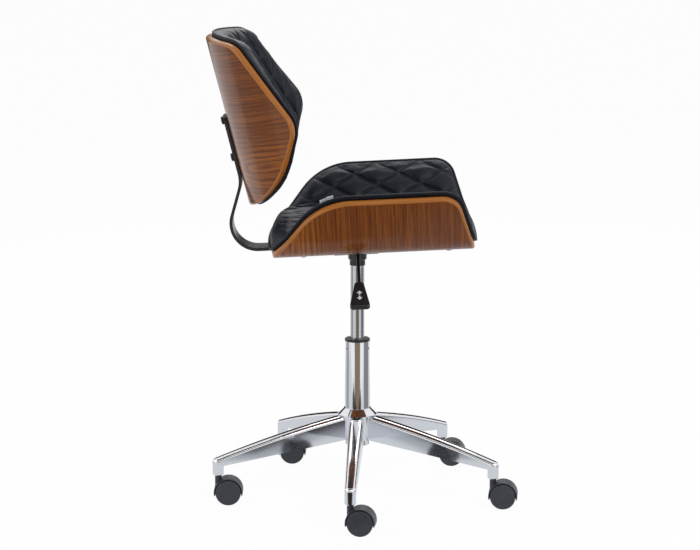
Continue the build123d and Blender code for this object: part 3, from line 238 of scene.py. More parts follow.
run = Vector((0, -math.cos(LEVER_DROP), -math.sin(LEVER_DROP)))
up = Vector((0, -math.sin(LEVER_DROP), math.cos(LEVER_DROP)))
sign_origin = LEVER_BEND + run * SIGN_CENTRE + up * (PADDLE_HALF + INK_LAYER)
shape = bmesh.new()
for flip in (-1, 1):
    ring = []
    for across, along in ARROW:
        spot = sign_origin + Vector((across, 0, 0)) + run * flip * along
        ring.append(shape.verts.new(SEAT_PLACE @ spot))
    shape.faces.new(ring)
bmesh.ops.recalc_face_normals(shape, faces=shape.faces)
for face in shape.faces:
    if face.normal.z < 0:
        face.normal_flip()
lever_sign = shaped_piece("lever_sign", shape, [ink])
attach(lever_sign, "lever")

# Seat shell: crossed veneers glued and bent to a wide U, faced with walnut whose grain runs round the U.
# Lacquered walnut gives streaks and pores under a soft gloss; the edge is sanded round, so the cut plies
# glow lighter. Bolts from below hold it to the seat pan.
SEAT_FLAT_HALF, SEAT_BEND, SEAT_FLARE = 0.143, 0.068, math.radians(62.0)
SEAT_SIDE = ((-0.163, 0.0), (-0.0666, 0.1195), (0.192, 0.1195), (0.224, 0.0))
SEAT_SIDE_RADII = (0.125, 0.038)
SEAT_BULGES = (0.006, 0.003)             # how far the rear and the front bow out in the middle
WOOD_RIM, PAD_RIM = 0.1115, 0.1155       # outer height of the sides; the pad stands a little above the wood
PLY = 0.014
PLY_ROUND = 0.0045
PLY_RINGS = (0.0, 0.0004, 0.0014, 0.0028, 0.0045)
LINE_STEP, OUTLINE_GAP = 0.001, 0.004    # spacing of the points along a side and along an outline
ARC_PARTS, END_PARTS = 24, 40            # points round a corner, and along the rear or the front
SHEET_CUTS = ((1, 0.010), (0, 0.030))    # mesh lines round and along the sheet
CUT_OFFSET, CUT_SNAP = 0.0003, 1e-5      # keeps the mesh lines off the outline's own points
EDGE_SLACK = 0.0002                      # this near to the rounding's end, a face counts as flat
SEAT_FIGURE = -0.105                     # where the arched figure lies along the seat
WALNUT = ("#381b09", "#643310", "#8e511a")
WALNUT_STOPS = (0.2, 0.5, 0.8)
WALNUT_ROUGH = (0.32, 0.46)
# Pattern sizes in mm across and along the grain; fibres and pores are drawn about twice as coarse as real
# ones, so that they show.
SWAY_MM, FIBRE_MM, STREAK_MM, PORE_MM = (62.5, 200.0), (1.1, 111.11), (3.8462, 333.33), (1.6, 22.222)
PORE_START, PORE_END, PORE_DARK = 0.6, 0.8, 0.6
PORE_RELIEF = (0.1, 0.0002)
RING_MM, RING_SWAY = 10.0, 2.6
RING_NEAR, RING_FAR, RING_REACH = 0.42, 0.13, 7.0   # rings' strength in the figure, and this many rings away
ARCH_START, ARCH_END, ARCH_RINGS = 0.19, 0.31, 1.6  # where round the sheet the arches turn, and how fast
FIBRE_SHARE, STREAK_SHARE, TONE_SHIFT = 0.6, 0.6, -0.13
PLY_EDGE = ("#7d440d", "#ad6a1c")
PLY_EDGE_ROUGH = (0.28, 0.42)
PLY_LINE_MM = (40.0, 1.1111)             # along and across the plies


def rounded_line(corners, radii, step):
    """Points a step apart along straight runs whose inner corners are rounded."""
    line = [Vector(corners[0])]
    for before, corner, after, radius in zip(corners, corners[1:], corners[2:], radii):
        corner = Vector(corner)
        one, two = (Vector(before) - corner).normalized(), (Vector(after) - corner).normalized()
        half = one.angle(two) / 2
        centre = corner + (one + two).normalized() * radius / math.sin(half)
        start, end = corner + one * radius / math.tan(half), corner + two * radius / math.tan(half)
        for i in range(ARC_PARTS + 1):
            line.append(centre + (start.lerp(end, i / ARC_PARTS) - centre).normalized() * radius)
    line.append(Vector(corners[-1]))
    points = []
    for one, two in zip(line, line[1:]):
        count = max(1, int((two - one).length / step))
        points += [one.lerp(two, i / count) for i in range(count)]
    return points + [line[-1]]


def spaced(points, gap):
    """Closed outline with neighbouring points at least a gap apart."""
    kept = [points[0]]
    for point in points[1:]:
        if (point - kept[-1]).length >= gap:
            kept.append(point)
    if (kept[-1] - kept[0]).length < gap:
        kept.pop()
    return kept


def seat_height_to_arc(z):
    """Place round the U, measured on the shell's underside, of a height above the flat."""
    knee = SEAT_BEND * (1 - math.cos(SEAT_FLARE))
    if z <= knee:
        return SEAT_FLAT_HALF + SEAT_BEND * math.acos(1 - z / SEAT_BEND)
    return SEAT_FLAT_HALF + SEAT_BEND * SEAT_FLARE + (z - knee) / math.sin(SEAT_FLARE)


def seat_bend(sheet):
    """Takes a point of the flat veneer sheet (along, round, inward) onto the bent seat."""
    along, arc, inward = sheet
    out = abs(arc)
    side = math.copysign(1.0, arc)
    angle = min(max((out - SEAT_FLAT_HALF) / SEAT_BEND, 0.0), SEAT_FLARE)
    climb = max(out - SEAT_FLAT_HALF - SEAT_BEND * SEAT_FLARE, 0.0)
    y = min(out, SEAT_FLAT_HALF) + (SEAT_BEND - inward) * math.sin(angle) + climb * math.cos(SEAT_FLARE)
    z = SEAT_BEND - (SEAT_BEND - inward) * math.cos(angle) + climb * math.sin(SEAT_FLARE)
    return SEAT_PLACE @ Vector((along, side * y, z))


def seat_sheet(rim):
    """Outline of the flat sheet that the seat is bent from, for sides of a given height."""
    share = rim / SEAT_SIDE[1][1]
    flank = [Vector((x, seat_height_to_arc(max(z * share, 0.0))))
             for x, z in rounded_line(SEAT_SIDE, SEAT_SIDE_RADII, LINE_STEP)]
    rear, front = [], []
    for i in range(1, END_PARTS):
        arc = SEAT_FLAT_HALF * (i / (END_PARTS / 2) - 1)
        bow = 1 - (arc / SEAT_FLAT_HALF) ** 2
        rear.append(Vector((SEAT_SIDE[0][0] - bow * SEAT_BULGES[0], arc)))
        front.append(Vector((SEAT_SIDE[-1][0] + bow * SEAT_BULGES[1], -arc)))
    return spaced(rear + flank + front + [Vector((p.x, -p.y)) for p in reversed(flank)], OUTLINE_GAP)


def shifted(outline, sideways, endways):
    """Outline moved out by one amount at its sides (round) and another at its ends (along)."""
    turn = sum(a.x * b.y - b.x * a.y for a, b in zip(outline, outline[1:] + outline[:1]))
    moved = []
    for i, point in enumerate(outline):
        run = (outline[(i + 1) % len(outline)] - outline[i - 1]) * math.copysign(1.0, turn)
        out = Vector((run.y, -run.x)).normalized()
        share = out.x ** 2
        moved.append(point + out * (endways * share + sideways * (1 - share)))
    return moved


def ringed_face(shape, outline, depths):
    """Flat face inside an outline, with rings of narrow faces along its edge for the rounding."""
    loops = [[shape.verts.new((p.x, p.y, 0.0)) for p in shifted(outline, -depth, -depth)] for depth in depths]
    for outer, inner in zip(loops, loops[1:]):
        for i in range(len(outer)):
            shape.faces.new((outer[i - 1], outer[i], inner[i], inner[i - 1]))
    shape.faces.new(loops[-1])


def cut(shape, spot, normal):
    """Adds a mesh line where a plane crosses the sheet."""
    bmesh.ops.bisect_plane(shape, geom=shape.verts[:] + shape.edges[:] + shape.faces[:], dist=CUT_SNAP,
                           plane_co=spot, plane_no=normal)


def edge_distance(points, outline):
    """Distance of each point of the sheet to its outline."""
    corners = np.array([tuple(p) for p in outline])
    following = np.roll(corners, -1, axis=0)
    side = following - corners
    offset = points[:, None, :] - corners[None, :, :]
    share = np.clip((offset * side).sum(2) / (side * side).sum(1), 0, 1)
    return np.linalg.norm(offset - share[:, :, None] * side, axis=2).min(1)


def ply_panel(name, outline, bend, figure, materials):
    """Bent panel with a rounded edge, cut from a flat sheet; each point keeps its place in the veneer."""
    shape = bmesh.new()
    sheet = shape.verts.layers.float_vector.new("sheet")
    ringed_face(shape, outline, PLY_RINGS)
    for axis, step in SHEET_CUTS:
        low, high = min(p[axis] for p in outline), max(p[axis] for p in outline)
        normal = (1, 0, 0) if axis == 0 else (0, 1, 0)
        for i in range(math.ceil(low / step), math.floor(high / step) + 1):
            cut(shape, Vector(normal) * (i * step + CUT_OFFSET), normal)
    raised = bmesh.ops.extrude_face_region(shape, geom=shape.faces[:])
    top = {v for v in raised["geom"] if isinstance(v, bmesh.types.BMVert)}
    verts = list(shape.verts)
    inside = edge_distance(np.array([v.co.xy for v in verts]), outline)
    for face in shape.faces:
        face.smooth = True
    for vert, deep in zip(verts, inside):
        hollow = PLY_ROUND - math.sqrt(max(PLY_ROUND ** 2 - max(PLY_ROUND - deep, 0.0) ** 2, 0.0))
        vert.co.z = PLY - hollow if vert in top else hollow
    far = {v for v, deep in zip(verts, inside) if deep > PLY_ROUND - EDGE_SLACK}
    for face in shape.faces:
        face.material_index = 0 if all(v in far for v in face.verts) else 1
    for vert in shape.verts:
        vert[sheet] = vert.co - Vector((figure, 0, 0))
        vert.co = bend(vert.co)
    bmesh.ops.recalc_face_normals(shape, faces=shape.faces)
    panel = shaped_piece(name, shape, materials)
    panel.modifiers.new("even_shading", "WEIGHTED_NORMAL").weight = 100
    return panel


def grain_scale(size_mm):
    """Pattern scale for a size in mm across and along the grain."""
    across, along = size_mm
    return (1000 / across, 1000 / along, 1000 / along)


walnut, tree, skin = new_finish("walnut_veneer_lacquered")
skin.inputs["Specular IOR Level"].default_value = 0.05
skin.inputs["Coat Weight"].default_value = 0.5
skin.inputs["Coat Roughness"].default_value = 0.14
sheet = add_node(tree, "ShaderNodeAttribute", attribute_name="sheet").outputs["Vector"]
# Figure: growth rings cut almost along the trunk, so they close in long arches where the knife met them flat.
axes = add_node(tree, "ShaderNodeSeparateXYZ", {"Vector": sheet})
sway_place = add_node(tree, "ShaderNodeMapping", {"Vector": sheet, "Scale": grain_scale(SWAY_MM)})
sway = add_node(tree, "ShaderNodeTexNoise", {"Vector": sway_place.outputs["Vector"], "Scale": 1.0,
                                             "Detail": 3.0})
across = add_node(tree, "ShaderNodeMath", {0: axes.outputs["X"], 1: 1000 / RING_MM}, operation="MULTIPLY")
wavering = add_node(tree, "ShaderNodeMath", {0: sway.outputs["Fac"], 1: RING_SWAY, 2: across.outputs[0]},
                    operation="MULTIPLY_ADD")
outward = add_node(tree, "ShaderNodeMath", {0: axes.outputs["Y"]}, operation="ABSOLUTE")
along = add_node(tree, "ShaderNodeMapRange", {"Value": outward.outputs[0], "From Min": ARCH_START,
                                              "From Max": ARCH_END, "To Max": ARCH_RINGS}, clamp=False)
ring_place = add_node(tree, "ShaderNodeCombineXYZ", {"X": wavering.outputs[0], "Y": along.outputs["Result"]})
ring = add_node(tree, "ShaderNodeVectorMath", {0: ring_place.outputs["Vector"]}, operation="LENGTH")
band = add_node(tree, "ShaderNodeMath", {0: ring.outputs["Value"]}, operation="FRACT")
fading = add_node(tree, "ShaderNodeMapRange", {"Value": ring.outputs["Value"], "From Max": RING_REACH,
                                               "To Min": RING_NEAR, "To Max": RING_FAR})
# Fibres, streaks and pores along the grain.
fibre_place = add_node(tree, "ShaderNodeMapping", {"Vector": sheet, "Scale": grain_scale(FIBRE_MM)})
fibre = add_node(tree, "ShaderNodeTexNoise", {"Vector": fibre_place.outputs["Vector"], "Scale": 1.0,
                                              "Detail": 3.0})
streak_place = add_node(tree, "ShaderNodeMapping", {"Vector": sheet, "Scale": grain_scale(STREAK_MM)})
streak = add_node(tree, "ShaderNodeTexNoise", {"Vector": streak_place.outputs["Vector"], "Scale": 1.0,
                                               "Detail": 4.0})
pore_place = add_node(tree, "ShaderNodeMapping", {"Vector": sheet, "Scale": grain_scale(PORE_MM)})
pore = add_node(tree, "ShaderNodeTexNoise", {"Vector": pore_place.outputs["Vector"], "Scale": 1.0,
                                             "Detail": 2.0})
pores = add_node(tree, "ShaderNodeMapRange", {"Value": pore.outputs["Fac"], "From Min": PORE_START,
                                              "From Max": PORE_END, "To Max": PORE_DARK})
fine = add_node(tree, "ShaderNodeMath", {0: fibre.outputs["Fac"], 1: FIBRE_SHARE, 2: TONE_SHIFT},
                operation="MULTIPLY_ADD")
coarse = add_node(tree, "ShaderNodeMath", {0: streak.outputs["Fac"], 1: STREAK_SHARE, 2: fine.outputs[0]},
                  operation="MULTIPLY_ADD")
figure = add_node(tree, "ShaderNodeMath", {0: band.outputs[0], 1: fading.outputs["Result"],
                                           2: coarse.outputs[0]}, operation="MULTIPLY_ADD")
tones = add_node(tree, "ShaderNodeValToRGB", {"Fac": figure.outputs[0]})
ramp = tones.color_ramp.elements
ramp[0].position, ramp[0].color = WALNUT_STOPS[0], linear(WALNUT[0])
ramp[1].position, ramp[1].color = WALNUT_STOPS[2], linear(WALNUT[2])
ramp.new(WALNUT_STOPS[1]).color = linear(WALNUT[1])
darkened = add_node(tree, "ShaderNodeMix", {"Factor": pores.outputs["Result"], "A": tones.outputs["Color"],
                                            "B": linear(WALNUT[0])}, data_type="RGBA")
tree.links.new(darkened.outputs["Result"], skin.inputs["Base Color"])
gloss = add_node(tree, "ShaderNodeMapRange", {"Value": fibre.outputs["Fac"], "To Min": WALNUT_ROUGH[0],
                                              "To Max": WALNUT_ROUGH[1]})
tree.links.new(gloss.outputs["Result"], skin.inputs["Roughness"])
relief = add_node(tree, "ShaderNodeBump", {"Height": pore.outputs["Fac"], "Strength": PORE_RELIEF[0],
                                           "Distance": PORE_RELIEF[1]})
tree.links.new(relief.outputs["Normal"], skin.inputs["Normal"])

# Edge of the plywood: the cut plies, sanded round and lacquered, show as lighter lines.
ply_edge, tree, skin = new_finish("lacquered_ply_edge")
skin.inputs["Specular IOR Level"].default_value = 0.3
skin.inputs["Coat Weight"].default_value = 0.3
skin.inputs["Coat Roughness"].default_value = 0.12
sheet = add_node(tree, "ShaderNodeAttribute", attribute_name="sheet").outputs["Vector"]
ply_place = add_node(tree, "ShaderNodeMapping", {
    "Vector": sheet, "Scale": (1000 / PLY_LINE_MM[0], 1000 / PLY_LINE_MM[0], 1000 / PLY_LINE_MM[1])})
plies = add_node(tree, "ShaderNodeTexNoise", {"Vector": ply_place.outputs["Vector"], "Scale": 1.0,
                                              "Detail": 2.0})
tone = add_node(tree, "ShaderNodeMix", {"Factor": plies.outputs["Fac"], "A": linear(PLY_EDGE[0]),
                                        "B": linear(PLY_EDGE[1])}, data_type="RGBA")
tree.links.new(tone.outputs["Result"], skin.inputs["Base Color"])
gloss = add_node(tree, "ShaderNodeMapRange", {"Value": plies.outputs["Fac"], "To Min": PLY_EDGE_ROUGH[0],
                                              "To Max": PLY_EDGE_ROUGH[1]})
tree.links.new(gloss.outputs["Result"], skin.inputs["Roughness"])

seat_wood = ply_panel("seat_wood", seat_sheet(WOOD_RIM), seat_bend, SEAT_FIGURE, (walnut, ply_edge))
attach(seat_wood, "seat")
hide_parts("seat_shell")

# Back shell: the same lacquered plywood, bent to part of a cylinder, with rounded wings and a narrow foot.
# Its walnut runs from wing to wing; two dome bolts hold it to the spring bar.
BACK_RADIUS = 0.280
BACK_SIDE = ((0.0, 0.3385), (0.054, 0.3205), (0.1353, 0.1487), (0.0698, 0.0328), (0.0, 0.0))
BACK_SIDE_RADII = (0.040, 0.050, 0.215)
BACK_LINE_STEP = 0.0002
BACK_FIGURE = 0.095                      # height of the arched figure above the foot
BACK_PLACE = Matrix.Translation((-0.212, 0, 0.5897)) @ Matrix.Rotation(math.radians(-14.2), 4, "Y")


def back_bend(sheet):
    """Takes a point of the flat sheet (height, round, inward) onto the bent back."""
    height, arc, inward = sheet
    angle = arc / BACK_RADIUS
    radius = BACK_RADIUS - inward
    return BACK_PLACE @ Vector((BACK_RADIUS - radius * math.cos(angle), radius * math.sin(angle), height))


def back_sheet():
    """Outline of the flat sheet that the back is bent from."""
    flank = [Vector((z, BACK_RADIUS * math.acos(1 - max(x, 0.0) / BACK_RADIUS)))
             for x, z in rounded_line(BACK_SIDE, BACK_SIDE_RADII, BACK_LINE_STEP)]
    return spaced(flank + [Vector((p.x, -p.y)) for p in reversed(flank)], OUTLINE_GAP)


back_wood = ply_panel("back_wood", back_sheet(), back_bend, BACK_FIGURE, (walnut, ply_edge))
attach(back_wood, "seat")
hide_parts("back_shell")

# Boards inside the pads: thin plywood that the cover is stapled to, hidden once the pads are bolted on.
# Birch, unfinished: pale with faint streaks.
BIRCH = ("#b08a58", "#cfae7c")
BIRCH_STREAK_MM = (3.3333, 50.0)

birch, tree, skin = new_finish("bare_birch_ply")
skin.inputs["Roughness"].default_value = 0.7
place = add_node(tree, "ShaderNodeTexCoord").outputs["Object"]
streak_place = add_node(tree, "ShaderNodeMapping", {"Vector": place, "Scale": grain_scale(BIRCH_STREAK_MM)})
streaks = add_node(tree, "ShaderNodeTexNoise", {"Vector": streak_place.outputs["Vector"], "Scale": 1.0,
                                                "Detail": 3.0})
tone = add_node(tree, "ShaderNodeMix", {"Factor": streaks.outputs["Fac"], "A": linear(BIRCH[0]),
                                        "B": linear(BIRCH[1])}, data_type="RGBA")
tree.links.new(tone.outputs["Result"], skin.inputs["Base Color"])
dress(["seat_board", "back_board"], birch)

# Pads: foam on the boards under a cover quilted in diamonds and drawn down to a piped edge.
# Leatherette, a coated cloth: black with a blue cast and a fine pebble; the sewn lines pull it in, and the
# spare cloth puffs and creases between them.
QUILT_LONG, QUILT_SHORT = 0.089, 0.055
QUILT_PITCH = 1 / math.hypot(1 / QUILT_LONG, 1 / QUILT_SHORT)            # between parallel sewn lines
QUILT_DEPTH, QUILT_SOFT, QUILT_PUFF = 0.0042, 0.0030, 0.0022
QUILT_FADE = 0.02                        # the quilting dies out this near to the edge
QUILT_LINES = (0.0, 0.035, 0.1, 0.2, 0.35, 0.5, 0.65, 0.8, 0.9, 0.965)   # mesh lines across one diamond
PAD_RINGS = (0.0, 0.0012, 0.0036, 0.0075, 0.0125)
PAD_EDGE, PAD_LIP = 0.028, 0.003         # width of the rounded edge, and its upright part at the seam
PAD_FOOT, PAD_BOARD = 0.0143, 0.0186     # cover's lowest line and foam's base above the shell's outer face
PAD_CROWN, CROWN_POWER = 0.005, 0.7
PAD_CLEAR = 0.0003
WELD = 0.0004
SEWN_HALF, EDGE_HELD = 0.0008, 0.004     # what the thread and the edge hold still in the simulation
GATHER_REACH, GATHER_COUNT, GATHER_DEPTH, GATHER_FADE = 0.060, 11, 0.0005, 0.008
CLOTH_FRAMES, CLOTH_CAP = 14, 0.004
CLOTH_PRESSURE, CLOTH_SPARE, CLOTH_STIFF, CLOTH_BEND = 4.0, 0.015, 15.0, 0.3
PIPING_RADIUS, PIPING_RISE = 0.0027, 0.0028
LEATHER = ("#080c17", "#101725")
LEATHER_ROUGH = (0.4, 0.55)
LEATHER_CLOUD_MM, PEBBLE_MM, CREASE_MM = 45.4545, 1.3, 9.0
CREASE_SHARE = 2.0                       # how much the creases outweigh the pebble
LEATHER_RELIEF = (0.22, 0.0004)


def seam_distance(points, shift):
    """Distance of each point of the sheet to the nearest sewn line of the quilting."""
    along, round_ = (points[:, 0] - shift) / QUILT_LONG, points[:, 1] / QUILT_SHORT
    near = [np.abs(line - np.round(line)) for line in (along + round_, along - round_)]
    return np.minimum(*near) * QUILT_PITCH


def quilted_pad(name, outline, bend, foam, shift, gathers):
    """Closed pad on a bent panel; foam gives the thickness at places round the panel, gathers the corners."""
    shape = bmesh.new()
    sheet = shape.verts.layers.float_vector.new("sheet")
    group = shape.verts.layers.deform.verify()
    ringed_face(shape, outline, PAD_RINGS)
    for turn in (-1, 1):
        normal = Vector((1 / QUILT_LONG, turn / QUILT_SHORT, 0)).normalized()
        reach = [normal.dot(Vector((p.x - shift, p.y, 0))) / QUILT_PITCH for p in outline]
        for i in range(math.floor(min(reach)), math.ceil(max(reach))):
            for part in QUILT_LINES:
                cut(shape, Vector((shift, 0, 0)) + normal * (i + part) * QUILT_PITCH, normal)
    bmesh.ops.remove_doubles(shape, verts=shape.verts[:], dist=WELD)
    raised = bmesh.ops.extrude_face_region(shape, geom=shape.faces[:])
    top = [v for v in raised["geom"] if isinstance(v, bmesh.types.BMVert)]
    spots = np.array([v.co.xy for v in top])
    inside = edge_distance(spots, outline)
    seam = seam_distance(spots, shift)
    swell = np.sqrt(np.clip(1 - (1 - np.clip(inside / PAD_EDGE, 0, 1)) ** 2, 0, 1))
    body = np.interp(np.abs(spots[:, 1]), *foam)
    middle = np.clip(inside / np.max(inside), 0, 1)
    lip = PAD_FOOT + PAD_LIP
    height = lip + (body + PAD_BOARD - lip) * swell + PAD_CROWN * middle ** CROWN_POWER
    puffed = QUILT_PUFF * np.sin(np.clip(seam / (QUILT_PITCH / 2), 0, 1) * math.pi / 2)
    height += (puffed - QUILT_DEPTH * np.exp(-seam / QUILT_SOFT)) * np.clip(inside / QUILT_FADE, 0, 1)
    for corner in gathers:
        offset = spots - np.array(corner)
        far = np.linalg.norm(offset, axis=1)
        turn = np.arctan2(offset[:, 1], offset[:, 0]) * GATHER_COUNT
        fan = 0.6 * np.sin(turn) + 0.4 * np.sin(turn * 1.7 + 1.0)      # two waves, so that the folds are uneven
        held = np.clip(inside / GATHER_FADE, 0, 1)
        height += GATHER_DEPTH * fan * np.exp(-(far / GATHER_REACH) ** 2) * held
    for vert in shape.verts:
        vert[sheet] = vert.co
        vert[group][0] = 1.0
    for vert, lift, near, deep in zip(top, height, seam, inside):
        vert.co.z = lift
        vert[group][0] = 1.0 if near < SEWN_HALF or deep < EDGE_HELD else 0.0
    for vert in set(shape.verts) - set(top):
        vert.co.z = PAD_FOOT + PAD_CLEAR
    for vert in shape.verts:
        vert.co = bend(vert.co)
    bmesh.ops.recalc_face_normals(shape, faces=shape.faces)
    for face in shape.faces:
        face.smooth = True
    pad = shaped_piece(name, shape, [leather])
    pad.vertex_groups.new(name="sewn")
    puff(pad)
    smooth = pad.modifiers.new("smooth_cover", "SUBSURF")
    smooth.levels = smooth.render_levels = 1
    return pad


def puff(pad):
    """Cloth under slight pressure, held at the sewn lines; a little spare cloth makes the creases."""
    start = np.array([v.co for v in pad.data.vertices])
    cloth = pad.modifiers.new("cover_cloth", "CLOTH")
    cloth.settings.vertex_group_mass = "sewn"
    cloth.settings.use_pressure = True
    cloth.settings.uniform_pressure_force = CLOTH_PRESSURE
    cloth.settings.shrink_min = -CLOTH_SPARE
    cloth.settings.tension_stiffness = cloth.settings.compression_stiffness = CLOTH_STIFF
    cloth.settings.bending_stiffness = CLOTH_BEND
    cloth.settings.quality = 6
    cloth.settings.effector_weights.gravity = 0.0
    cloth.point_cache.frame_start, cloth.point_cache.frame_end = 1, CLOTH_FRAMES
    for moment in range(1, CLOTH_FRAMES + 1):
        bpy.context.scene.frame_set(moment)
    settled = pad.evaluated_get(bpy.context.evaluated_depsgraph_get()).to_mesh()
    moved = np.array([v.co for v in settled.vertices]) - start
    pad.modifiers.remove(cloth)
    bpy.context.scene.frame_set(1)
    length = np.linalg.norm(moved, axis=1, keepdims=True)
    moved = moved * np.minimum(1, CLOTH_CAP / np.maximum(length, 1e-9))
    pad.data.vertices.foreach_set("co", (start + moved).astype(np.float32).ravel())
    pad.data.update()


def piping(name, outline, bend):
    """Round cord under the cover along a pad's edge."""
    cord = bpy.data.curves.new(name, "CURVE")
    cord.dimensions = "3D"
    cord.bevel_depth = PIPING_RADIUS
    cord.bevel_resolution = 3
    line = cord.splines.new("POLY")
    line.points.add(len(outline) - 1)
    line.use_cyclic_u = True
    line.use_smooth = True
    for point, spot in zip(line.points, outline):
        point.co = bend((spot.x, spot.y, PAD_FOOT + PIPING_RISE)).to_4d()
    raw = bpy.data.objects.new(name + "_line", cord)
    mesh = bpy.data.meshes.new_from_object(raw)
    bpy.data.objects.remove(raw)
    mesh.name = name
    mesh.materials.clear()
    mesh.materials.append(leather)
    made = bpy.data.objects.new(name, mesh)
    bpy.context.scene.collection.objects.link(made)
    return made


leather, tree, skin = new_finish("black_quilted_leatherette")
skin.inputs["Specular IOR Level"].default_value = 0.28
place = add_node(tree, "ShaderNodeTexCoord").outputs["Object"]
cloud = add_node(tree, "ShaderNodeTexNoise", {"Vector": place, "Scale": 1000 / LEATHER_CLOUD_MM,
                                              "Detail": 5.0})
tone = add_node(tree, "ShaderNodeMix", {"Factor": cloud.outputs["Fac"], "A": linear(LEATHER[0]),
                                        "B": linear(LEATHER[1])}, data_type="RGBA")
tree.links.new(tone.outputs["Result"], skin.inputs["Base Color"])
gloss = add_node(tree, "ShaderNodeMapRange", {"Value": cloud.outputs["Fac"], "To Min": LEATHER_ROUGH[0],
                                              "To Max": LEATHER_ROUGH[1]})
tree.links.new(gloss.outputs["Result"], skin.inputs["Roughness"])
pebble = add_node(tree, "ShaderNodeTexVoronoi", {"Vector": place, "Scale": 1000 / PEBBLE_MM},
                  feature="SMOOTH_F1")
crease = add_node(tree, "ShaderNodeTexNoise", {"Vector": place, "Scale": 1000 / CREASE_MM, "Detail": 4.0})
grain = add_node(tree, "ShaderNodeMath", {0: crease.outputs["Fac"], 1: CREASE_SHARE,
                                          2: pebble.outputs["Distance"]}, operation="MULTIPLY_ADD")
relief = add_node(tree, "ShaderNodeBump", {"Height": grain.outputs[0], "Strength": LEATHER_RELIEF[0],
                                           "Distance": LEATHER_RELIEF[1]})
tree.links.new(relief.outputs["Normal"], skin.inputs["Normal"])

# Seat pad: the quilted cover over its board and foam, thinner where it climbs the sides and gathered at the
# rear corners. Bolts through the shell hold its board; a cord piped in the same leatherette closes its seam.
SEAT_KNEE = SEAT_FLAT_HALF + SEAT_BEND * SEAT_FLARE
SEAT_ARC_END = seat_height_to_arc(SEAT_SIDE[1][1])
SEAT_FOAM = ((0.0, SEAT_KNEE - 0.03, SEAT_KNEE + 0.03, SEAT_ARC_END - 0.035, SEAT_ARC_END),
             (0.028, 0.028, 0.020, 0.017, 0.005))
SEAT_PAD_SIDE, SEAT_PAD_END, SEAT_PIPING_END = -0.001, 0.002, 0.003     # past the sheet's outline
SEAT_GATHERS = ((-0.150, -0.170), (-0.150, 0.170))

seat_outline = shifted(seat_sheet(PAD_RIM), SEAT_PAD_SIDE, SEAT_PAD_END)
seat_cover = quilted_pad("seat_cover", seat_outline, seat_bend, SEAT_FOAM, 0.0, SEAT_GATHERS)
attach(seat_cover, "seat")
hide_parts("seat_cushion")
seat_piping = piping("seat_piping", shifted(seat_sheet(PAD_RIM), 0.0, SEAT_PIPING_END), seat_bend)
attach(seat_piping, "seat")

# Back pad: the same cover over its own board and foam, thinner at the wings and gathered at the upper
# corners. The shell's two dome bolts hold its board too, and it is piped like the seat.
BACK_FOAM = ((0.0, 0.19, 0.26, 0.29), (0.026, 0.026, 0.018, 0.010))
BACK_PAD_END, BACK_PAD_UP, BACK_PIPING_UP = 0.002, 0.0015, 0.002
BACK_QUILT_START = 0.169                 # height of a crossing of the sewn lines
BACK_GATHERS = ((0.318, -0.150), (0.318, 0.150))

back_outline = [p + Vector((BACK_PAD_UP, 0.0)) for p in shifted(back_sheet(), 0.0, BACK_PAD_END)]
back_cover = quilted_pad("back_cover", back_outline, back_bend, BACK_FOAM, BACK_QUILT_START, BACK_GATHERS)
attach(back_cover, "seat")
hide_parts("back_cushion")
back_line = [p + Vector((BACK_PIPING_UP, 0.0)) for p in shifted(back_sheet(), 0.0, BACK_PAD_END)]
back_piping = piping("back_piping", back_line, back_bend)
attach(back_piping, "seat")

# Care tag: a blank ribbon caught in the seat's piped seam on the sitter's right.
# Satin polyester, woven: pale, with a fine rib across it.
TAG_ALONG, TAG_WIDTH, TAG_RISE = -0.053, 0.026, 0.0055
TAG_HIDDEN = 0.006                       # length held under the piping
TAG_REACH = 0.006                        # part of the pad's outline, either way, that the tag rises from
TAG_INWARD, TAG_CURL, TAG_CURL_TURN = 0.007, 0.002, 2.6
TAG_THICK = 0.0006
TAG_ROWS, TAG_COLUMNS = 8, 5
RIBBON = ("#dfe2e6", "#c4c9cf")
RIB_MM = 1.5783                          # drawn about twice as coarse as real ribs, so that they show
WAVE_TURN = 20.0                         # radians that the wave pattern runs in one unit

ribbon, tree, skin = new_finish("woven_pale_ribbon")
skin.inputs["Roughness"].default_value = 0.55
place = add_node(tree, "ShaderNodeTexCoord").outputs["Object"]
ribs = add_node(tree, "ShaderNodeTexWave", {"Vector": place, "Scale": 1000 / RIB_MM * math.tau / WAVE_TURN,
                                            "Distortion": 0.5})
tone = add_node(tree, "ShaderNodeMix", {"Factor": ribs.outputs["Fac"], "A": linear(RIBBON[0]),
                                        "B": linear(RIBBON[1])}, data_type="RGBA")
tree.links.new(tone.outputs["Result"], skin.inputs["Base Color"])

shape = bmesh.new()
rows = []
for i in range(TAG_ROWS + 1):
    share = i / TAG_ROWS
    inward = PAD_FOOT + TAG_INWARD + TAG_CURL * math.sin(TAG_CURL_TURN * share)
    row = []
    for j in range(TAG_COLUMNS + 1):
        along = TAG_ALONG + TAG_WIDTH * (j / TAG_COLUMNS - 0.5)
        rim = max(-p.y for p in seat_outline if abs(p.x - along) < TAG_REACH)
        arc = -rim + TAG_HIDDEN - (TAG_RISE + TAG_HIDDEN) * share
        row.append(shape.verts.new(seat_bend((along, arc, inward))))
    rows.append(row)
for low, high in zip(rows, rows[1:]):
    for j in range(TAG_COLUMNS):
        shape.faces.new((low[j], low[j + 1], high[j + 1], high[j])).smooth = True
seat_tag = shaped_piece("seat_tag", shape, [ribbon])
seat_tag.modifiers.new("ribbon_thickness", "SOLIDIFY").thickness = TAG_THICK
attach(seat_tag, "seat")

# Studio: a pale seamless floor of paper, lit white where the camera or a mirror sees it.
# Matt, so it takes only the chair's soft shadow.
PAPER_COLOUR = "#f4f4f4"
PAPER_GLOW = 0.95
FLOOR_SIZE = 60.0

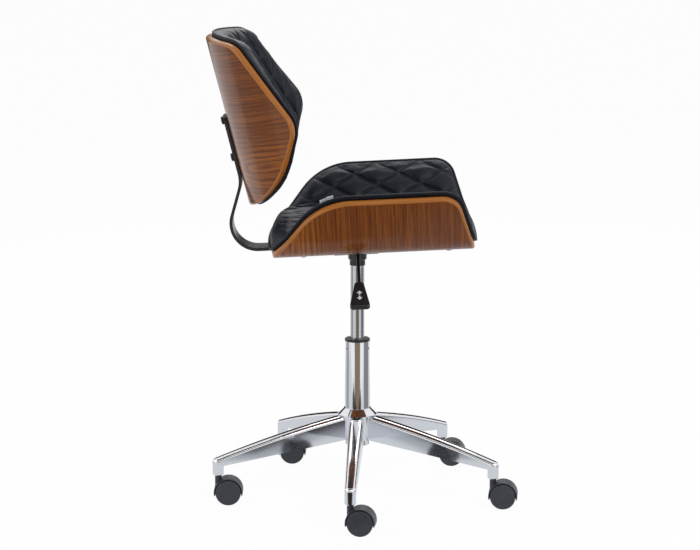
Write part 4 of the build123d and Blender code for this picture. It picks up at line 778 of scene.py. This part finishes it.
paper, tree, skin = new_finish("white_studio_paper")
skin.inputs["Base Color"].default_value = linear(PAPER_COLOUR)
skin.inputs["Roughness"].default_value = 0.9
skin.inputs["Specular IOR Level"].default_value = 0.0
path = add_node(tree, "ShaderNodeLightPath")
seen = add_node(tree, "ShaderNodeMath", {0: path.outputs["Is Camera Ray"], 1: path.outputs["Is Glossy Ray"]},
                operation="MAXIMUM")
share = add_node(tree, "ShaderNodeMath", {0: seen.outputs[0], 1: PAPER_GLOW}, operation="MULTIPLY")
glow = add_node(tree, "ShaderNodeEmission", {"Color": (1, 1, 1, 1), "Strength": 1.0})
mixed = add_node(tree, "ShaderNodeMixShader", {0: share.outputs[0], 1: skin.outputs["BSDF"],
                                               2: glow.outputs["Emission"]})
tree.links.new(mixed.outputs["Shader"], tree.nodes["Material Output"].inputs["Surface"])
bpy.ops.mesh.primitive_plane_add(size=FLOOR_SIZE)
floor = bpy.context.object
floor.name = "studio_floor"
floor.data.materials.append(paper)
floor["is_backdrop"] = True

# Cards that only the polished metal reflects, in place of the grey and black flags a studio sets round chrome;
# they glow in set tones, so their streaks in the metal are painted reflections.
# The flat ones lie on the floor before the chair and beside it, a darker one a little above a paler one.
FLOOR_CARDS = (
    ("floor_card_front", 0.006,
     ((0, -0.66), (0.36, -0.82), (1.8, -3.7), (-1.8, -3.7), (-0.36, -0.82)), "#8c7f69"),
    ("floor_card_near", 0.005,
     ((-0.58, -0.585), (-0.04, -0.405), (0.45, -0.675), (0.45, -0.80), (-0.58, -0.80)), "#332a25"),
    ("floor_card_mid", 0.004,
     ((-0.58, -0.565), (-0.04, -0.385), (0.46, -0.655), (0.46, -0.80), (-0.58, -0.80)), "#75777a"),
    ("floor_card_feet", 0.003,
     ((-0.60, -0.52), (-0.04, -0.34), (0.48, -0.61), (0.48, -0.80), (-0.60, -0.80)), "#b2b8be"),
    ("floor_card_pale", 0.002, ((-1.3, -0.64), (1.3, -0.64), (1.3, 0.9), (-1.3, 0.9)), "#dde1e5"),
    ("floor_card_right", 0.004, ((0.55, -0.3), (3.2, -1.9), (3.6, 1.6), (0.6, 0.35)), "#8a8e92"),
    ("floor_card_left", 0.004, ((-0.6, -0.05), (-3.2, -0.6), (-3.4, 1.6), (-0.6, 0.4)), "#a8acb0"),
)
RAISED_CARDS = (
    ("high_card", ((-2.0, -1.9, 2.1), (2.0, -1.9, 2.1), (2.0, -0.6, 2.7), (-2.0, -0.6, 2.7)), "#100c0a"),
    ("far_card", ((-2.6, 2.4, 0.50), (2.6, 2.4, 0.50), (2.6, 2.4, 1.5), (-2.6, 2.4, 1.5)), "#2a211b"),
    ("low_card", ((-2.4, -2.9, 0.9), (2.4, -2.9, 0.9), (2.2, -2.6, 1.7), (-2.2, -2.6, 1.7)), "#2b1c12"),
)
cards = [(name, [(x, y, z) for x, y in corners], tone) for name, z, corners, tone in FLOOR_CARDS]
for name, corners, tone in cards + list(RAISED_CARDS):
    # Each card glows in its listed tone instead of being lit, though it is no lamp: a painted reflection for
    # the metal.
    card_glow, tree, skin = new_finish(name + "_paint")
    skin.inputs["Base Color"].default_value = (0, 0, 0, 1)
    skin.inputs["Specular IOR Level"].default_value = 0.0
    skin.inputs["Emission Color"].default_value = linear(tone)
    skin.inputs["Emission Strength"].default_value = 1.0
    mesh = bpy.data.meshes.new(name)
    mesh.from_pydata(corners, [], [tuple(range(len(corners)))])
    mesh.materials.append(card_glow)
    card = bpy.data.objects.new(name, mesh)
    bpy.context.scene.collection.objects.link(card)
    card.visible_camera = card.visible_diffuse = card.visible_shadow = card.visible_transmission = False
    card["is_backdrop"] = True

# Lamps: a large soft one above the front, a weaker one at the side and one behind, aimed just below the seat.
# The world adds an even white sky, at full strength only where the camera, metal or glass sees it.
LAMPS = (("key_lamp", (1.6, -2.6, 3.0), 2.4, 70.0), ("side_lamp", (-2.8, -1.2, 2.0), 1.6, 22.0),
         ("back_lamp", (0.2, 2.6, 2.6), 2.0, 30.0))
LAMP_AIM = Vector((0, 0, 0.5))
SKY_LIGHT, SKY_SEEN = 0.55, 1.0

for name, spot, size, power in LAMPS:
    lamp = bpy.data.lights.new(name, "AREA")
    lamp.energy = power
    lamp.size = size
    holder = bpy.data.objects.new(name, lamp)
    holder.location = spot
    holder.rotation_euler = (LAMP_AIM - Vector(spot)).to_track_quat("-Z", "Y").to_euler()
    bpy.context.scene.collection.objects.link(holder)

world = bpy.data.worlds.new("studio_sky")
bpy.context.scene.world = world
world.use_nodes = True
tree = world.node_tree
path = add_node(tree, "ShaderNodeLightPath")
mirror = add_node(tree, "ShaderNodeMath", {0: path.outputs["Is Glossy Ray"],
                                           1: path.outputs["Is Transmission Ray"]}, operation="MAXIMUM")
seen = add_node(tree, "ShaderNodeMath", {0: path.outputs["Is Camera Ray"], 1: mirror.outputs[0]},
                operation="MAXIMUM")
level = add_node(tree, "ShaderNodeMapRange", {"Value": seen.outputs[0], "To Min": SKY_LIGHT,
                                              "To Max": SKY_SEEN})
sky = tree.nodes["Background"]
sky.inputs["Color"].default_value = (1, 1, 1, 1)
tree.links.new(level.outputs["Result"], sky.inputs["Strength"])

# Camera: a long lens at the photograph's place, square to the chair's right side and looking slightly down.
# Its sensor is 36 mm wide; the plain Standard view shows colours as they are written.
EYE_PLACE = (-0.0147, -4.6283, 1.3174)
EYE_DOWN = math.radians(10.67)
EYE_LENS_MM, EYE_SENSOR_MM = 122.5, 36.0

eye = bpy.data.cameras.new("photo_camera")
eye.sensor_width = EYE_SENSOR_MM
eye.lens = EYE_LENS_MM
camera = bpy.data.objects.new("photo_camera", eye)
camera.location = EYE_PLACE
camera.rotation_euler = (math.pi / 2 - EYE_DOWN, 0, 0)
bpy.context.scene.collection.objects.link(camera)
bpy.context.scene.camera = camera
bpy.context.scene.view_settings.view_transform = "Standard"

low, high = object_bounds()
